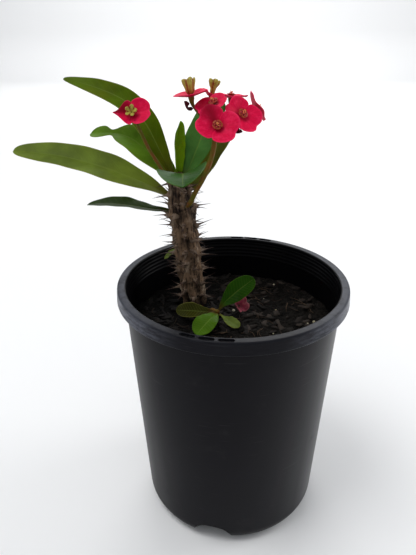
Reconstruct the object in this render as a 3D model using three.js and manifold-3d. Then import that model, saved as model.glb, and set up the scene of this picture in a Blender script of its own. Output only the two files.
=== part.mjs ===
// A crown-of-thorns euphorbia growing in a black plastic nursery pot, in millimetres, +Z up.
// The origin is the middle of the pot's base, on the ground. The front of the plant faces -Y.
// One thick thorny stem leans to -X, with a head of long leaves, one single bloom on its own
// stalk, a cluster of seven blooms on a branched stalk, and a small basal shoot at its foot.
import * as THREE from "three";
import { mergeVertices } from "three/addons/utils/BufferGeometryUtils.js";
import Module from "manifold-3d";

const wasm = await Module();
wasm.setup();

// ---------------------------------------------------------------- driving dimensions

const SEAT_GAP = 0.3; // between two pieces that touch
const TURN = 2 * Math.PI;

const pot = {
  rimRadius: 100,
  height: 232,
  rimWidth: 7.6, // the flat ring on top
  rimThickness: 1.8,
  skirtDrop: 11.5, // the rim's outer skirt, from the top down
  skirtFlare: 0.6,
  wall: 1.6,
  bodyTopRadius: 93.8, // just under the skirt
  baseRadius: 82.4,
  cornerRadius: 15, // between the wall and the flat base
  ribCount: 2,
  ribPitch: 7,
  ribDepth: 0.5,
  sides: 44,
  cornerSteps: 3,
};

// Label slots through the rim: a group of three at the front and one opposite.
const slot = { middle: 96.4, width: 3.4, arc: 7.4, pitch: 8.7, groupAt: -11 };

// Drain cut-outs through the bottom corner; the first is under the front slots.
const drain = { count: 3, width: 39, height: 19, topWidth: 26, depth: 40, from: 56 };

const soil = { top: 192, relief: 1.3, rings: 5, chips: 26 };

const stem = {
  route: [
    [-35, 30, 150],
    [-36, 30, 190],
    [-37, 29, 207],
    [-39, 28, 224],
    [-40, 28, 240],
    [-43, 27, 262],
    [-45, 26, 283],
    [-47, 26, 302],
    [-48, 26, 320],
  ],
  radius: 10.6,
  buriedRadius: 9.5,
  sides: 15,
  steps: 24,
  ridges: 5,
  ridgeHeight: 0.07,
};

const spine = { nodes: 34, length: 12.5, baseRadius: 2.7, neckRadius: 0.95, spread: 26 };

// ---------------------------------------------------------------- materials

function finish(colour, roughness) {
  return new THREE.MeshStandardMaterial({ color: colour, roughness, metalness: 0 });
}

const plastic = finish(0x24252a, 0.5);
const pottingMix = finish(0x241d18, 0.95);
const bark = finish(0x6b5d4f, 0.85);
const leafGreen = finish(0x4c7a1e, 0.42);
const leafDark = finish(0x2f5a2b, 0.42);
const leafPale = finish(0x66783a, 0.5);
const leafYoung = finish(0x55911c, 0.42);
const leafOlive = finish(0x6d7428, 0.5);
const stalkBrown = finish(0x6a5a2a, 0.6);
const bractRed = finish(0xd01f48, 0.5);
const bractDark = finish(0x4a0d18, 0.5);
const bractFaded = finish(0x93364b, 0.7);
const cupGreen = finish(0xb2b257, 0.5);
const cupOrange = finish(0xa8502c, 0.55);

// ---------------------------------------------------------------- solids and meshes

// A closed geometry as a manifold solid, with its vertices merged and its faces pointing out.
function solidOf(geometry) {
  const bare = geometry.clone();
  bare.deleteAttribute("normal");
  bare.deleteAttribute("uv");
  const merged = mergeVertices(bare, 1e-4);
  const index = merged.index.array;
  const made = (flip) => {
    const triVerts = [];
    for (let i = 0; i < index.length; i += 3) {
      const [a, b, c] = index.slice(i, i + 3);
      if (a === b || b === c || c === a) continue;
      triVerts.push(a, ...(flip ? [c, b] : [b, c]));
    }
    const vertProperties = merged.attributes.position.array;
    const mesh = new wasm.Mesh({ numProp: 3, vertProperties, triVerts: new Uint32Array(triVerts) });
    return new wasm.Manifold(mesh);
  };
  const outward = made(false);
  return outward.volume() > 0 ? outward : made(true);
}

function joined(solids) {
  return solids.reduce((whole, next) => whole.add(next));
}

// A solid moved along a direction until only the seat gap is left between it and another.
function seatedOn(solid, other, direction) {
  const step = direction.map((d) => d * 0.1);
  let moved = solid;
  while (moved.minGap(other, 20) > SEAT_GAP) moved = moved.translate(...step);
  return moved;
}

// The largest body of a solid, so that a scrap cut loose is dropped.
function mainBody(solid) {
  return solid.decompose().reduce((big, next) => (next.volume() > big.volume() ? next : big));
}

const part = new THREE.Group();
const solidsByName = new Map();

function addPiece(name, solid, material) {
  const { vertProperties, triVerts } = solid.getMesh();
  const geometry = new THREE.BufferGeometry();
  geometry.setAttribute("position", new THREE.BufferAttribute(vertProperties, 3));
  geometry.setIndex(new THREE.BufferAttribute(triVerts, 1));
  geometry.computeVertexNormals();
  const mesh = new THREE.Mesh(geometry, material);
  mesh.name = name;
  part.add(mesh);
  solidsByName.set(name, solid);
}

// A repeatable random number from 0 to 1.
function seeded(seed) {
  let state = seed;
  return () => {
    state = (state * 1664525 + 1013904223) % 4294967296;
    return state / 4294967296;
  };
}

const vec = (p) => new THREE.Vector3(...p);
const radians = THREE.MathUtils.degToRad;
const mix = THREE.MathUtils.lerp;

// ---------------------------------------------------------------- turned and bent shapes

// A profile of [radius, height] pairs turned about the Z axis.
function turned(profile, sides) {
  const points = profile.map(([r, z]) => new THREE.Vector2(r, z));
  return new THREE.LatheGeometry(points, sides).rotateX(Math.PI / 2);
}

// Directions across a curve at t: one near +X, and one at right angles to it.
function acrossAt(curve, t) {
  const along = curve.getTangentAt(t);
  const reference = Math.abs(along.x) > 0.8 ? vec([0, 1, 0]) : vec([1, 0, 0]);
  const right = reference.addScaledVector(along, -reference.dot(along)).normalize();
  return { along, right, left: new THREE.Vector3().crossVectors(along, right) };
}

// A round bar along a curve. radiusAt(t, angle) gives its radius at a share t of the length.
function bar(curve, radiusAt, sides, steps) {
  const geometry = new THREE.CylinderGeometry(1, 1, 1, sides, steps);
  const position = geometry.attributes.position;
  for (let i = 0; i < position.count; i++) {
    const t = THREE.MathUtils.clamp(position.getY(i) + 0.5, 0, 1);
    const angle = Math.atan2(position.getZ(i), position.getX(i));
    const reach = Math.hypot(position.getX(i), position.getZ(i)) * radiusAt(t, angle);
    const { right, left } = acrossAt(curve, t);
    const place = curve.getPointAt(t);
    place.addScaledVector(right, reach * Math.cos(angle));
    place.addScaledVector(left, reach * Math.sin(angle));
    position.setXYZ(i, place.x, place.y, place.z);
  }
  return solidOf(geometry);
}

const routeOf = (points) => new THREE.CatmullRomCurve3(points.map(vec), false, "centripetal");

// A thin sheet over a grid of (u, v) from -1 to 1 and 0 to 1, split into triangles alike on
// both faces. pointAt gives its middle surface and thicknessAt its thickness.
function sheet(across, along, pointAt, thicknessAt) {
  const tiny = 1e-3;
  const places = [];
  for (const side of [0.5, -0.5])
    for (let j = 0; j <= along; j++)
      for (let i = 0; i <= across; i++) {
        const [u, v] = [(2 * i) / across - 1, j / along];
        const du = pointAt(u + tiny, v).sub(pointAt(u - tiny, v));
        const dv = pointAt(u, Math.min(v + tiny, 1)).sub(pointAt(u, Math.max(v - tiny, 0)));
        const normal = du.cross(dv).normalize();
        const place = pointAt(u, v).addScaledVector(normal, side * thicknessAt(u, v));
        places.push(place.x, place.y, place.z);
      }
  const row = across + 1;
  const back = row * (along + 1);
  const index = [];
  const quad = (a, b, c, d) => index.push(a, b, c, a, c, d);
  for (let j = 0; j < along; j++)
    for (let i = 0; i < across; i++) {
      const a = j * row + i;
      index.push(a, a + 1, a + row + 1, a, a + row + 1, a + row);
      index.push(back + a, back + a + row + 1, back + a + 1);
      index.push(back + a, back + a + row, back + a + row + 1);
    }
  for (let i = 0; i < across; i++) {
    quad(i, back + i, back + i + 1, i + 1);
    const top = along * row + i;
    quad(top, top + 1, back + top + 1, back + top);
  }
  for (let j = 0; j < along; j++) {
    const [low, high] = [j * row, j * row + across];
    quad(low, low + row, back + low + row, back + low);
    quad(high, back + high, back + high + row, high + row);
  }
  const geometry = new THREE.BufferGeometry();
  geometry.setAttribute("position", new THREE.Float32BufferAttribute(places, 3));
  geometry.setIndex(index);
  return solidOf(geometry);
}

// ---------------------------------------------------------------- the pot

// The pot's inner radius at a height on its straight wall.
function innerRadius(z) {
  const share = (z - pot.cornerRadius) / (pot.height - pot.skirtDrop - pot.cornerRadius);
  return mix(pot.baseRadius, pot.bodyTopRadius, share) - pot.wall;
}

function cornerArc(radius, steps) {
  const centre = pot.baseRadius - pot.cornerRadius;
  return Array.from({ length: steps + 1 }, (_, k) => {
    const angle = (k / steps) * (Math.PI / 2);
    return [centre + radius * Math.sin(angle), pot.cornerRadius - radius * Math.cos(angle)];
  });
}

function potProfile() {
  const { rimRadius, height, rimWidth, rimThickness, skirtDrop, skirtFlare, wall } = pot;
  const skirtFoot = height - skirtDrop;
  const rimInner = rimRadius - rimWidth;
  const ribs = [];
  for (let k = 0; k < pot.ribCount; k++) {
    const z = height - rimThickness - 6 - k * pot.ribPitch;
    ribs.push([innerRadius(z + 1), z + 1], [innerRadius(z) - pot.ribDepth, z]);
    ribs.push([innerRadius(z - 1), z - 1]);
  }
  return [
    [0, 0],
    ...cornerArc(pot.cornerRadius, pot.cornerSteps),
    [pot.bodyTopRadius, skirtFoot],
    [pot.bodyTopRadius + 0.3, height - rimThickness],
    [rimRadius - wall, height - rimThickness],
    [rimRadius + skirtFlare - wall, skirtFoot],
    [rimRadius + skirtFlare, skirtFoot],
    [rimRadius, height - 0.8],
    [rimRadius - 0.8, height],
    [rimInner, height],
    ...ribs,
    ...cornerArc(pot.cornerRadius - wall, pot.cornerSteps).reverse(),
    [0, wall],
  ];
}

// One slot as a block in the shape of a ring sector, its middle at an angle from -Y towards +X.
function slotCutter(degrees) {
  const half = radians(slot.arc) / 2;
  const middle = radians(degrees) - Math.PI / 2;
  const sector = new THREE.Shape();
  sector.absarc(0, 0, slot.middle + slot.width / 2, middle - half, middle + half, false);
  sector.absarc(0, 0, slot.middle - slot.width / 2, middle + half, middle - half, true);
  const depth = pot.rimThickness + 2;
  const block = new THREE.ExtrudeGeometry(sector, { depth, bevelEnabled: false, curveSegments: 3 });
  return solidOf(block.translate(0, 0, pot.height - pot.rimThickness - 1));
}

// One drain cut-out: a low arch pushed through the bottom corner.
function drainCutter(degrees) {
  const [foot, head, top] = [drain.width / 2, drain.topWidth / 2, drain.height];
  const arch = new THREE.Shape();
  arch.moveTo(-foot, -1);
  arch.quadraticCurveTo(-foot + 1, top, -head, top);
  arch.lineTo(head, top);
  arch.quadraticCurveTo(foot - 1, top, foot, -1);
  const { depth } = drain;
  const block = new THREE.ExtrudeGeometry(arch, { depth, bevelEnabled: false, curveSegments: 4 });
  block.rotateX(Math.PI / 2).translate(0, -drain.from, 0).rotateZ(radians(degrees));
  return solidOf(block);
}

const drainAt = Array.from({ length: drain.count }, (_, k) => slot.groupAt + (k * 360) / drain.count);

function buildPot() {
  let body = solidOf(turned(potProfile(), pot.sides));
  for (const side of [0, 180])
    for (const step of [-1, 0, 1])
      body = body.subtract(slotCutter(slot.groupAt + side + step * slot.pitch));
  for (const degrees of drainAt) body = body.subtract(drainCutter(degrees));
  addPiece("pot", body, plastic);
}

// ---------------------------------------------------------------- the potting mix

function soilHeight(x, y) {
  const long = Math.sin(x * 0.06 + 1.1) * Math.cos(y * 0.05);
  const short = Math.sin(x * 0.19 + y * 0.11) * Math.sin(y * 0.23 + 0.7);
  return soil.top + soil.relief * (long + 0.6 * short);
}

function soilPlug() {
  const edge = innerRadius(soil.top) - SEAT_GAP;
  const floor = pot.wall + SEAT_GAP;
  const profile = [
    [0, floor],
    ...cornerArc(pot.cornerRadius - floor, pot.cornerSteps),
    [edge, soil.top],
  ];
  for (let k = 1; k <= soil.rings; k++) profile.push([edge * (1 - k / soil.rings), soil.top]);
  const geometry = turned(profile, pot.sides);
  const position = geometry.attributes.position;
  for (let i = 0; i < position.count; i++) {
    const [x, y, z] = [position.getX(i), position.getY(i), position.getZ(i)];
    if (z > soil.top - 1 && Math.hypot(x, y) < edge - 1) position.setZ(i, soilHeight(x, y));
  }
  return drainAt.reduce((plug, degrees) => plug.subtract(drainCutter(degrees)), solidOf(geometry));
}

// Flat slivers of bark, half sunk in the surface.
function barkChips() {
  const random = seeded(7);
  const chips = [];
  for (let k = 0; k < soil.chips; k++) {
    const [reach, turn] = [Math.sqrt(random()) * 76, random() * TURN];
    const [x, y] = [reach * Math.cos(turn), reach * Math.sin(turn)];
    const chip = new THREE.BoxGeometry(mix(6, 17, random()), mix(1.8, 4, random()), 1.6);
    chip.rotateX(mix(-0.3, 0.3, random())).rotateY(mix(-0.16, 0.16, random()));
    chip.rotateZ(random() * TURN).translate(x, y, soilHeight(x, y) + 0.5);
    chips.push(solidOf(chip));
  }
  return chips;
}

// ---------------------------------------------------------------- the thorny stem

const stemRoute = routeOf(stem.route);

function stemRadius(t, angle) {
  const buried = THREE.MathUtils.smoothstep(t, 0.16, 0.26);
  const knuckle = Math.exp(-Math.pow((t - 0.8) / 0.055, 2));
  const bulges = 1 + 0.09 * knuckle + 0.04 * Math.sin(t * 57 + 1);
  const ridge = 1 + stem.ridgeHeight * Math.sin(stem.ridges * angle + t * 9);
  const taper = mix(1, 0.82, THREE.MathUtils.smoothstep(t, 0.84, 0.9));
  const crown = Math.sqrt(1 - Math.pow(Math.max(0, (t - 0.94) / 0.065), 2));
  return mix(stem.buriedRadius, stem.radius * bulges * ridge * taper * crown, buried);
}

const stemBar = (gap) => {
  return bar(stemRoute, (t, angle) => stemRadius(t, angle) + gap, stem.sides, stem.steps);
};

// The room that a bar and the gap round it take up, its two ends included.
function sleeveOf(barAt, gap) {
  const wide = barAt(gap);
  return joined([wide, wide.translate(0, 0, gap), wide.translate(0, 0, -gap)]);
}

// One thorn with its swollen base, pointing along +Y with its foot at the origin.
function thornShape(length) {
  const thorn = new THREE.ConeGeometry(1, 1, 4, 2);
  const position = thorn.attributes.position;
  for (let i = 0; i < position.count; i++) {
    const rise = position.getY(i) + 0.5;
    const angle = Math.atan2(position.getZ(i), position.getX(i));
    const centre = Math.hypot(position.getX(i), position.getZ(i)) < 1e-6 && rise < 0.5;
    const width = rise < 0.25 ? spine.baseRadius : rise < 0.75 ? spine.neckRadius : 0;
    const reach = centre ? 0 : width;
    const height = rise < 0.25 ? -1.5 : rise < 0.75 ? 2 : length;
    position.setXYZ(i, reach * Math.cos(angle), height, reach * Math.sin(angle));
  }
  return thorn;
}

// Thorns in pairs round the stem, one pair at each old leaf scar, on a spiral.
function thorns() {
  const random = seeded(41);
  const made = [];
  const [first, last] = [0.27, 0.965];
  for (let k = 0; k < spine.nodes; k++) {
    const t = mix(first, last, (k + 0.5) / spine.nodes);
    const turn = k * radians(137.5) + 0.4;
    for (const side of [-1, 1]) {
      const angle = turn + side * radians(spine.spread) * mix(0.7, 1.1, random());
      const { along, right, left } = acrossAt(stemRoute, t);
      const out = right.multiplyScalar(Math.cos(angle)).addScaledVector(left, Math.sin(angle));
      const tilt = mix(-0.25, 0.35, random());
      const aim = out.clone().addScaledVector(along, tilt).normalize();
      const foot = stemRoute.getPointAt(t).addScaledVector(out, stemRadius(t, angle) - 0.6);
      const length = spine.length * mix(0.6, 1.05, random());
      const turnTo = new THREE.Quaternion().setFromUnitVectors(vec([0, 1, 0]), aim);
      const thorn = thornShape(length).applyQuaternion(turnTo).translate(foot.x, foot.y, foot.z);
      made.push(solidOf(thorn));
    }
  }
  return made;
}

// ---------------------------------------------------------------- leaves

// Half the width of a blade at a share v of its length: a narrow foot, the widest place at
// "widest", a taper from there, a waist on some, and a rounded tip.
function bladeWidth(v, leaf) {
  const widest = leaf.widest ?? 0.62;
  if (v < widest) {
    const rise = Math.pow(Math.sin((Math.PI / 2) * (v / widest)), leaf.foot ?? 1.5);
    return mix(leaf.base ?? 1.7, leaf.half, rise);
  }
  const past = (v - widest) / (1 - widest);
  const [waistAt, waist] = leaf.waist ?? [0.5, 0];
  const nip = 1 - waist * Math.exp(-Math.pow((v - waistAt) / 0.075, 2));
  const slim = nip * (1 - (leaf.taper ?? 0) * past);
  return leaf.half * slim * Math.sqrt(1 - Math.pow(past * 0.992, leaf.blunt ?? 2.4));
}

// The blade's middle surface: a route, a face direction along it, a fold and a waved edge.
function bladePoint(leaf) {
  const route = routeOf(leaf.route);
  const faces = routeOf(leaf.faces);
  return (u, v) => {
    const eased = 1 - Math.pow(1 - v, 1.35);
    const along = route.getTangentAt(eased);
    const face = faces.getPoint(eased).normalize();
    const side = new THREE.Vector3().crossVectors(along, face).normalize();
    const up = new THREE.Vector3().crossVectors(side, along);
    const half = bladeWidth(eased, leaf);
    const fold = radians(leaf.fold ?? 14);
    const wave = (leaf.wave ?? 0.8) * u * u * Math.sin(eased * 11 + (u > 0 ? 0.4 : 2.1));
    const place = route.getPointAt(eased);
    place.addScaledVector(side, half * u * Math.cos(fold));
    return place.addScaledVector(up, half * Math.abs(u) * Math.sin(fold) + wave * Math.sin(Math.PI * eased));
  };
}

function blade(leaf) {
  const thickness = (u, v) => mix(0.8, 2.4, (1 - Math.abs(u)) * Math.pow(1 - v, 2.5));
  return sheet(leaf.across ?? 4, leaf.steps ?? 13, bladePoint(leaf), thickness);
}

const leaves = {
  leaf_arching_left: {
    route: [
      [-49, 26, 308],
      [-56, 28, 323],
      [-65, 32, 341],
      [-74.5, 36, 358.5],
      [-90, 42, 374.3],
      [-115, 50, 384.3],
      [-146.5, 60, 391],
    ],
    faces: [
      [0.5, -0.7, 0.5],
      [0.35, -0.75, 0.55],
      [0.1, -0.75, 0.65],
      [-0.1, -0.6, 0.8],
    ],
    half: 11.5,
    widest: 0.45,
    blunt: 2.6,
    taper: 0.34,
    material: leafGreen,
  },
  leaf_long_left: {
    route: [
      [-47, 26, 295],
      [-57, 25, 300],
      [-71, 25, 308],
      [-91, 26, 316],
      [-111, 28, 323],
      [-147, 33, 331],
      [-192, 40, 334.3],
    ],
    faces: [
      [0.3, -0.3, 0.9],
      [0.05, -0.5, 0.85],
      [0, -0.55, 0.83],
      [0, -0.5, 0.85],
    ],
    half: 15.2,
    widest: 0.46,
    blunt: 4.6,
    taper: 0.38,
    material: leafOlive,
  },
  leaf_low_left: {
    route: [
      [-46, 26, 284],
      [-59, 28, 285],
      [-74, 32, 285],
      [-90, 36, 286],
      [-114, 42, 286],
      [-134, 47, 283],
    ],
    faces: [
      [0, -0.2, 1],
      [0, -0.1, 1],
      [0, -0.05, 1],
    ],
    half: 11,
    foot: 2.4,
    material: leafDark,
  },
  leaf_twisted_back: {
    route: [
      [-46, 27, 303],
      [-56, 34, 318],
      [-73, 42, 332],
      [-89, 50, 342],
      [-102, 56, 345.5],
      [-130, 70, 343],
    ],
    faces: [
      [0.3, -0.6, 0.75],
      [0.1, -0.7, 0.7],
      [0.05, -0.6, 0.75],
      [0, -0.5, 0.85],
      [0, -0.5, 0.85],
    ],
    half: 14,
    widest: 0.5,
    waist: [0.78, 0.72],
    blunt: 4.5,
    taper: 0.35,
    steps: 17,
    material: leafGreen,
  },
  leaf_upright_young: {
    route: [
      [-47.5, 27, 312],
      [-48.7, 29, 331],
      [-49, 31, 346],
      [-44.7, 33, 361],
    ],
    faces: [
      [0.75, -0.6, 0],
      [0.75, -0.6, 0],
    ],
    half: 8.2,
    fold: 38,
    widest: 0.5,
    material: leafYoung,
  },
  leaf_broad_right: {
    route: [
      [-45, 27, 309],
      [-39, 30, 321],
      [-32, 35, 337],
      [-26, 41, 351],
      [-19, 48, 365],
      [-10, 55, 373],
    ],
    faces: [
      [-0.3, -0.85, 0.4],
      [-0.2, -0.92, 0.35],
      [-0.1, -0.95, 0.3],
    ],
    half: 13,
    widest: 0.52,
    material: leafDark,
  },
  leaf_behind_right: {
    route: [
      [-45, 27, 296],
      [-35.5, 33, 307],
      [-25, 42, 323],
      [-15, 50, 337],
      [-6.5, 56, 347],
      [1, 60, 354],
    ],
    faces: [
      [-0.4, -0.8, 0.4],
      [-0.35, -0.85, 0.35],
      [-0.3, -0.9, 0.3],
    ],
    half: 10,
    widest: 0.5,
    material: leafOlive,
  },
  leaf_front: {
    route: [
      [-45, 24, 308],
      [-43, 11, 319],
      [-40, -5, 327],
      [-38.5, -25, 332],
      [-37, -43, 334],
      [-35.5, -57.5, 332.5],
    ],
    faces: [
      [-0.1, 0.3, 1],
      [-0.12, 0, 1],
      [-0.12, -0.1, 1],
    ],
    half: 20,
    fold: 18,
    widest: 0.56,
    blunt: 2.8,
    foot: 1.2,
    material: leafDark,
  },
  leaf_small_back: {
    route: [
      [-41, 28, 238],
      [-51, 40, 238],
      [-58, 47, 235],
      [-66, 52, 228],
    ],
    faces: [
      [0, -0.3, 1],
      [-0.2, -0.5, 0.9],
    ],
    half: 4.5,
    steps: 8,
    material: leafOlive,
  },
};

// ---------------------------------------------------------------- stalks and blooms

const collar = { radius: 3.2, halfHeight: 0.7 };
const bracts = { halfThickness: 0.42, sides: 20, cleft: 0.55, slim: 0.86, bowl: 1.5 };

// Where each bloom sits, the way it faces, the turn of its two bracts about that way, how far
// each of the two is raised from the flat in degrees, and their reach from the middle. Some have
// a size for each bract, a deeper bowl, slimmer bracts, a bract pinched to a point, or a young cup of a given
// waist, mouth and height.
const blooms = {
  single: {
    at: [-79.3, 6, 371.5], facing: [-0.08, -0.8, 0.6], turn: 6, lift: [6, 24], reach: 15, bowl: 4,
    size: [1.05, 1.08], slim: 0.74, pinch: [0, 0.9], cup: [2.2, 3.8, 5],
  },
  front: {
    at: [-12.9, -12.5, 365.4], facing: [0.05, -0.78, 0.62], turn: -22, lift: [12, 14], reach: 17,
    bowl: 4.5,
  },
  right: {
    at: [5, 6, 370.5], facing: [0.42, -0.68, 0.6], turn: -30, lift: [8, 8], reach: 16.5, bowl: 2.5,
    size: [1, 0.9],
  },
  far_right: {
    at: [16.0, 28.6, 371], facing: [0.84, 0.12, 0.48], turn: 80, lift: [8, 8], reach: 14, size: [1, 1.26],
  },
  top: { at: [-3.5, 42, 378], facing: [0.05, 0.12, 0.97], turn: 5, lift: [6, 8], reach: 14.5 },
  left: {
    at: [-15.8, 6.5, 378.5], facing: [-0.36, -0.38, 0.86], turn: 22, lift: [8, 10], reach: 15.5,
    size: [0.7, 1],
  },
  tall_left: {
    at: [-34, 12, 383.5], facing: [-0.18, 0.03, 1], turn: 0, lift: [6, 8], reach: 14.5, bowl: 2.5,
    cup: [3.9, 5.3, 11.5],
  },
  tall_right: {
    at: [-18.8, 27, 381.5], facing: [0.2, 0.1, 1], turn: 10, lift: [30, 42], reach: 9, size: [0.85, 1.03],
    cup: [2.4, 4.6, 11],
  },
};

// A faded bloom that has dropped on the potting mix.
const fallen = { at: [6, 11, 206], facing: [0.3, -0.4, 0.85], turn: 25, lift: [48, 62], reach: 10 };

const forks = {
  middle: [-15, 12, 355],
  left: [-29.5, 15.5, 371.5],
  back: [-7, 27, 364],
  right: [1, 17, 361],
};

// The turn that carries +Z to a bloom's facing way, after a spin about that way.
function bloomTurn({ facing, turn }) {
  const aim = vec(facing).normalize();
  const across = vec([1, 0, 0]).addScaledVector(aim, -aim.x).normalize();
  const frame = new THREE.Matrix4().makeBasis(across, new THREE.Vector3().crossVectors(aim, across), aim);
  const spin = new THREE.Matrix4().makeRotationZ(radians(turn));
  return new THREE.Quaternion().setFromRotationMatrix(frame.multiply(spin));
}

function placed(solid, bloom) {
  const matrix = new THREE.Matrix4().makeRotationFromQuaternion(bloomTurn(bloom));
  matrix.setPosition(...bloom.at);
  return solid.transform(matrix.elements);
}

// The two kidney-shaped bracts of a bloom and the collar that joins them, as a thin disc whose
// edge has a deep cleft between the bracts and a shallow notch in the middle of each.
function bractPair(bloom) {
  const [thin, thick, middle] = [bracts.halfThickness, collar.halfHeight, 0.6];
  const inner = collar.radius / bloom.reach;
  const under = [[0, -thick], [inner, -thick], [middle, -thin], [1, -thin]];
  const over = under.map(([r, z]) => [r, -z]).reverse();
  const geometry = turned([...under, ...over], bracts.sides);
  const position = geometry.attributes.position;
  for (let i = 0; i < position.count; i++) {
    const [x, y, z] = [position.getX(i), position.getY(i), position.getZ(i)];
    const share = Math.hypot(x, y);
    const outward = Math.max(0, (share - inner) / (1 - inner));
    const angle = Math.atan2(y, Math.abs(x));
    const lobes = Math.exp(-Math.pow((Math.abs(angle) - 0.8) / 0.4, 2));
    const notch = 1 - 0.1 * Math.exp(-Math.pow(angle / 0.3, 2)) + 0.06 * lobes;
    const own = (bloom.size ?? [1, 1])[x < 0 ? 1 : 0];
    const size = mix(1, own, Math.sqrt(Math.max(0, Math.cos(angle) - 1e-6)));
    const rounding = Math.sqrt(Math.max(0, 1 - Math.pow(Math.abs(angle) / (Math.PI / 2), 7)));
    const edge = bloom.reach * size * notch * mix(bracts.cleft, 1, rounding);
    const reach = outward > 0 ? mix(collar.radius, edge, outward) : share * bloom.reach;
    const crease = 0.9 * outward * Math.exp(-Math.pow(angle / 0.25, 2));
    const pinch = (bloom.pinch ?? [0, 0])[x < 0 ? 1 : 0];
    const along = (reach * Math.cos(angle)) / bloom.reach;
    const narrow = 1 - pinch * THREE.MathUtils.smoothstep(along, 0.1, 1);
    const across = (bloom.slim ?? bracts.slim) * reach * Math.sin(angle) * narrow;
    const bowl = (bloom.bowl ?? bracts.bowl) * Math.pow(across / bloom.reach, 2);
    const place = vec([reach * Math.cos(angle), across, 1.4 * outward - crease + bowl + z]);
    const lift = radians(bloom.lift[x < 0 ? 1 : 0]);
    const raised = Math.max(0, place.x - collar.radius);
    place.x -= raised * (1 - Math.cos(lift));
    place.z += raised * Math.sin(lift);
    position.setXYZ(i, x < 0 ? -place.x : place.x, place.y, place.z);
  }
  return placed(solidOf(geometry), bloom);
}

// The cup in the middle of a bloom, its rim drawn out into five lobes. An open one has its
// stamens standing together in the middle; a tall one is younger, still green and closed.
function cup(bloom) {
  const foot = collar.halfHeight + SEAT_GAP;
  const open = [[0, 0], [1.3, 0], [1.8, 1.6], [3.6, 2.2], [3.4, 3], [1.4, 2.4], [0.8, 5], [0, 5.4]];
  const [waist, mouth, top] = bloom.cup ?? [];
  const wall = [[waist, 0.38 * top], [mouth, 0.86 * top], [0.84 * mouth, top]];
  const tall = [[0, 0], [1.4, 0], ...wall, [1.5, 0.62 * top], [0, 0.56 * top]];
  const profile = (bloom.cup ? tall : open).map(([r, z]) => [r, z + foot]);
  const geometry = turned(profile, 15);
  const position = geometry.attributes.position;
  const lobeHeight = bloom.cup ? 1.3 : 0;
  const lobeReach = bloom.cup ? 0.12 : 0.22;
  for (let i = 0; i < position.count; i++) {
    const [x, y, z] = [position.getX(i), position.getY(i), position.getZ(i)];
    if (Math.hypot(x, y) < 3) continue;
    const lobe = Math.cos(5 * Math.atan2(y, x));
    const stretch = 1 + lobeReach * lobe;
    position.setXYZ(i, x * stretch, y * stretch, z + lobeHeight * lobe);
  }
  return placed(solidOf(geometry), bloom);
}

// The place under a bloom where its stalk ends.
function stalkEnd(bloom) {
  const drop = collar.halfHeight + SEAT_GAP;
  return vec(bloom.at).addScaledVector(vec(bloom.facing).normalize(), -drop);
}

// A stretch of stalk through hand-placed points, ending square under a bloom if one is given.
function stalk(points, radius, bloom) {
  const route = points.map(vec);
  if (bloom) {
    const aim = vec(bloom.facing).normalize();
    const end = stalkEnd(bloom);
    route.push(end.clone().addScaledVector(aim, -5), end);
  }
  const curve = new THREE.CatmullRomCurve3(route, false, "centripetal");
  const wide = bloom ? 0.7 : 0;
  return bar(curve, (t) => radius + wide * Math.pow(t, 6), 5, 2 + points.length * 2);
}

const singleStalk = [
  [-50, 23, 306],
  [-57, 19, 318],
  [-63, 16, 330],
  [-71, 12, 347],
];
const clusterStalk = [
  [-43, 21, 290],
  [-37, 12, 297],
  [-31, 10, 309],
  [-24, 9, 322],
  [-18, 9, 338],
  forks.middle,
];

// Small dark scales that sit under the forks of the branched stalk.
const bracteoles = {
  bracteole_left: {
    route: [
      [-33.5, 11, 375],
      [-35.5, 9, 373.5],
      [-37.5, 7, 375.5],
      [-39, 6, 380.5],
    ],
    faces: [
      [0.2, -0.2, 0.9],
      [0.6, -0.3, 0.7],
    ],
    inward: [0.7, 0.6, 0.3],
  },
  bracteole_right: {
    route: [
      [-2, 9, 360],
      [0, 7, 358],
      [3, 6, 357],
      [6, 6, 358],
    ],
    faces: [
      [-0.2, -0.2, 0.9],
      [-0.6, -0.3, 0.7],
    ],
    inward: [-0.2, 0.9, 0.4],
  },
};

// ---------------------------------------------------------------- the basal shoot

const shoot = {
  route: [
    [-23, 17, 176],
    [-22, 15, 190],
    [-18, 8, 196],
    [-13, 0, 199],
  ],
  radius: 1.9,
};

const shootLeaves = {
  shoot_leaf_left: {
    route: [
      [-15, -1, 200],
      [-24, -3, 201],
      [-34, -4, 202],
      [-50, -3, 202],
    ],
    faces: [
      [0, -0.5, 0.85],
      [0, -0.6, 0.8],
    ],
    half: 7.5,
    material: leafOlive,
  },
  shoot_leaf_up: {
    route: [
      [-12, 0, 201],
      [-8, 1, 207],
      [3, 4, 217],
      [19, 10, 228],
    ],
    faces: [
      [-0.3, -0.75, 0.6],
      [-0.35, -0.75, 0.6],
    ],
    half: 10,
    material: leafYoung,
  },
  shoot_leaf_front: {
    route: [
      [-13.7, -2.2, 199],
      [-16, -10, 201],
      [-22, -21, 200],
      [-30, -34, 196],
    ],
    faces: [
      [0, -0.3, 0.95],
      [0, -0.35, 0.95],
    ],
    half: 10,
    material: leafYoung,
  },
  shoot_leaf_small: {
    route: [
      [-11.6, -2, 198.4],
      [-6, -10, 199],
      [-1, -17, 199],
      [6, -24, 198],
    ],
    faces: [
      [0, -0.3, 1],
      [0.1, -0.4, 0.9],
    ],
    half: 5.5,
    foot: 3,
    widest: 0.72,
    material: leafOlive,
  },
};

// ---------------------------------------------------------------- assembly

const stemSleeve = sleeveOf(stemBar, SEAT_GAP);
const shootRoute = routeOf(shoot.route);
const shootBar = (gap) => bar(shootRoute, () => shoot.radius + gap, 7, 8);
const shootSleeve = sleeveOf(shootBar, SEAT_GAP);

buildPot();

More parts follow.
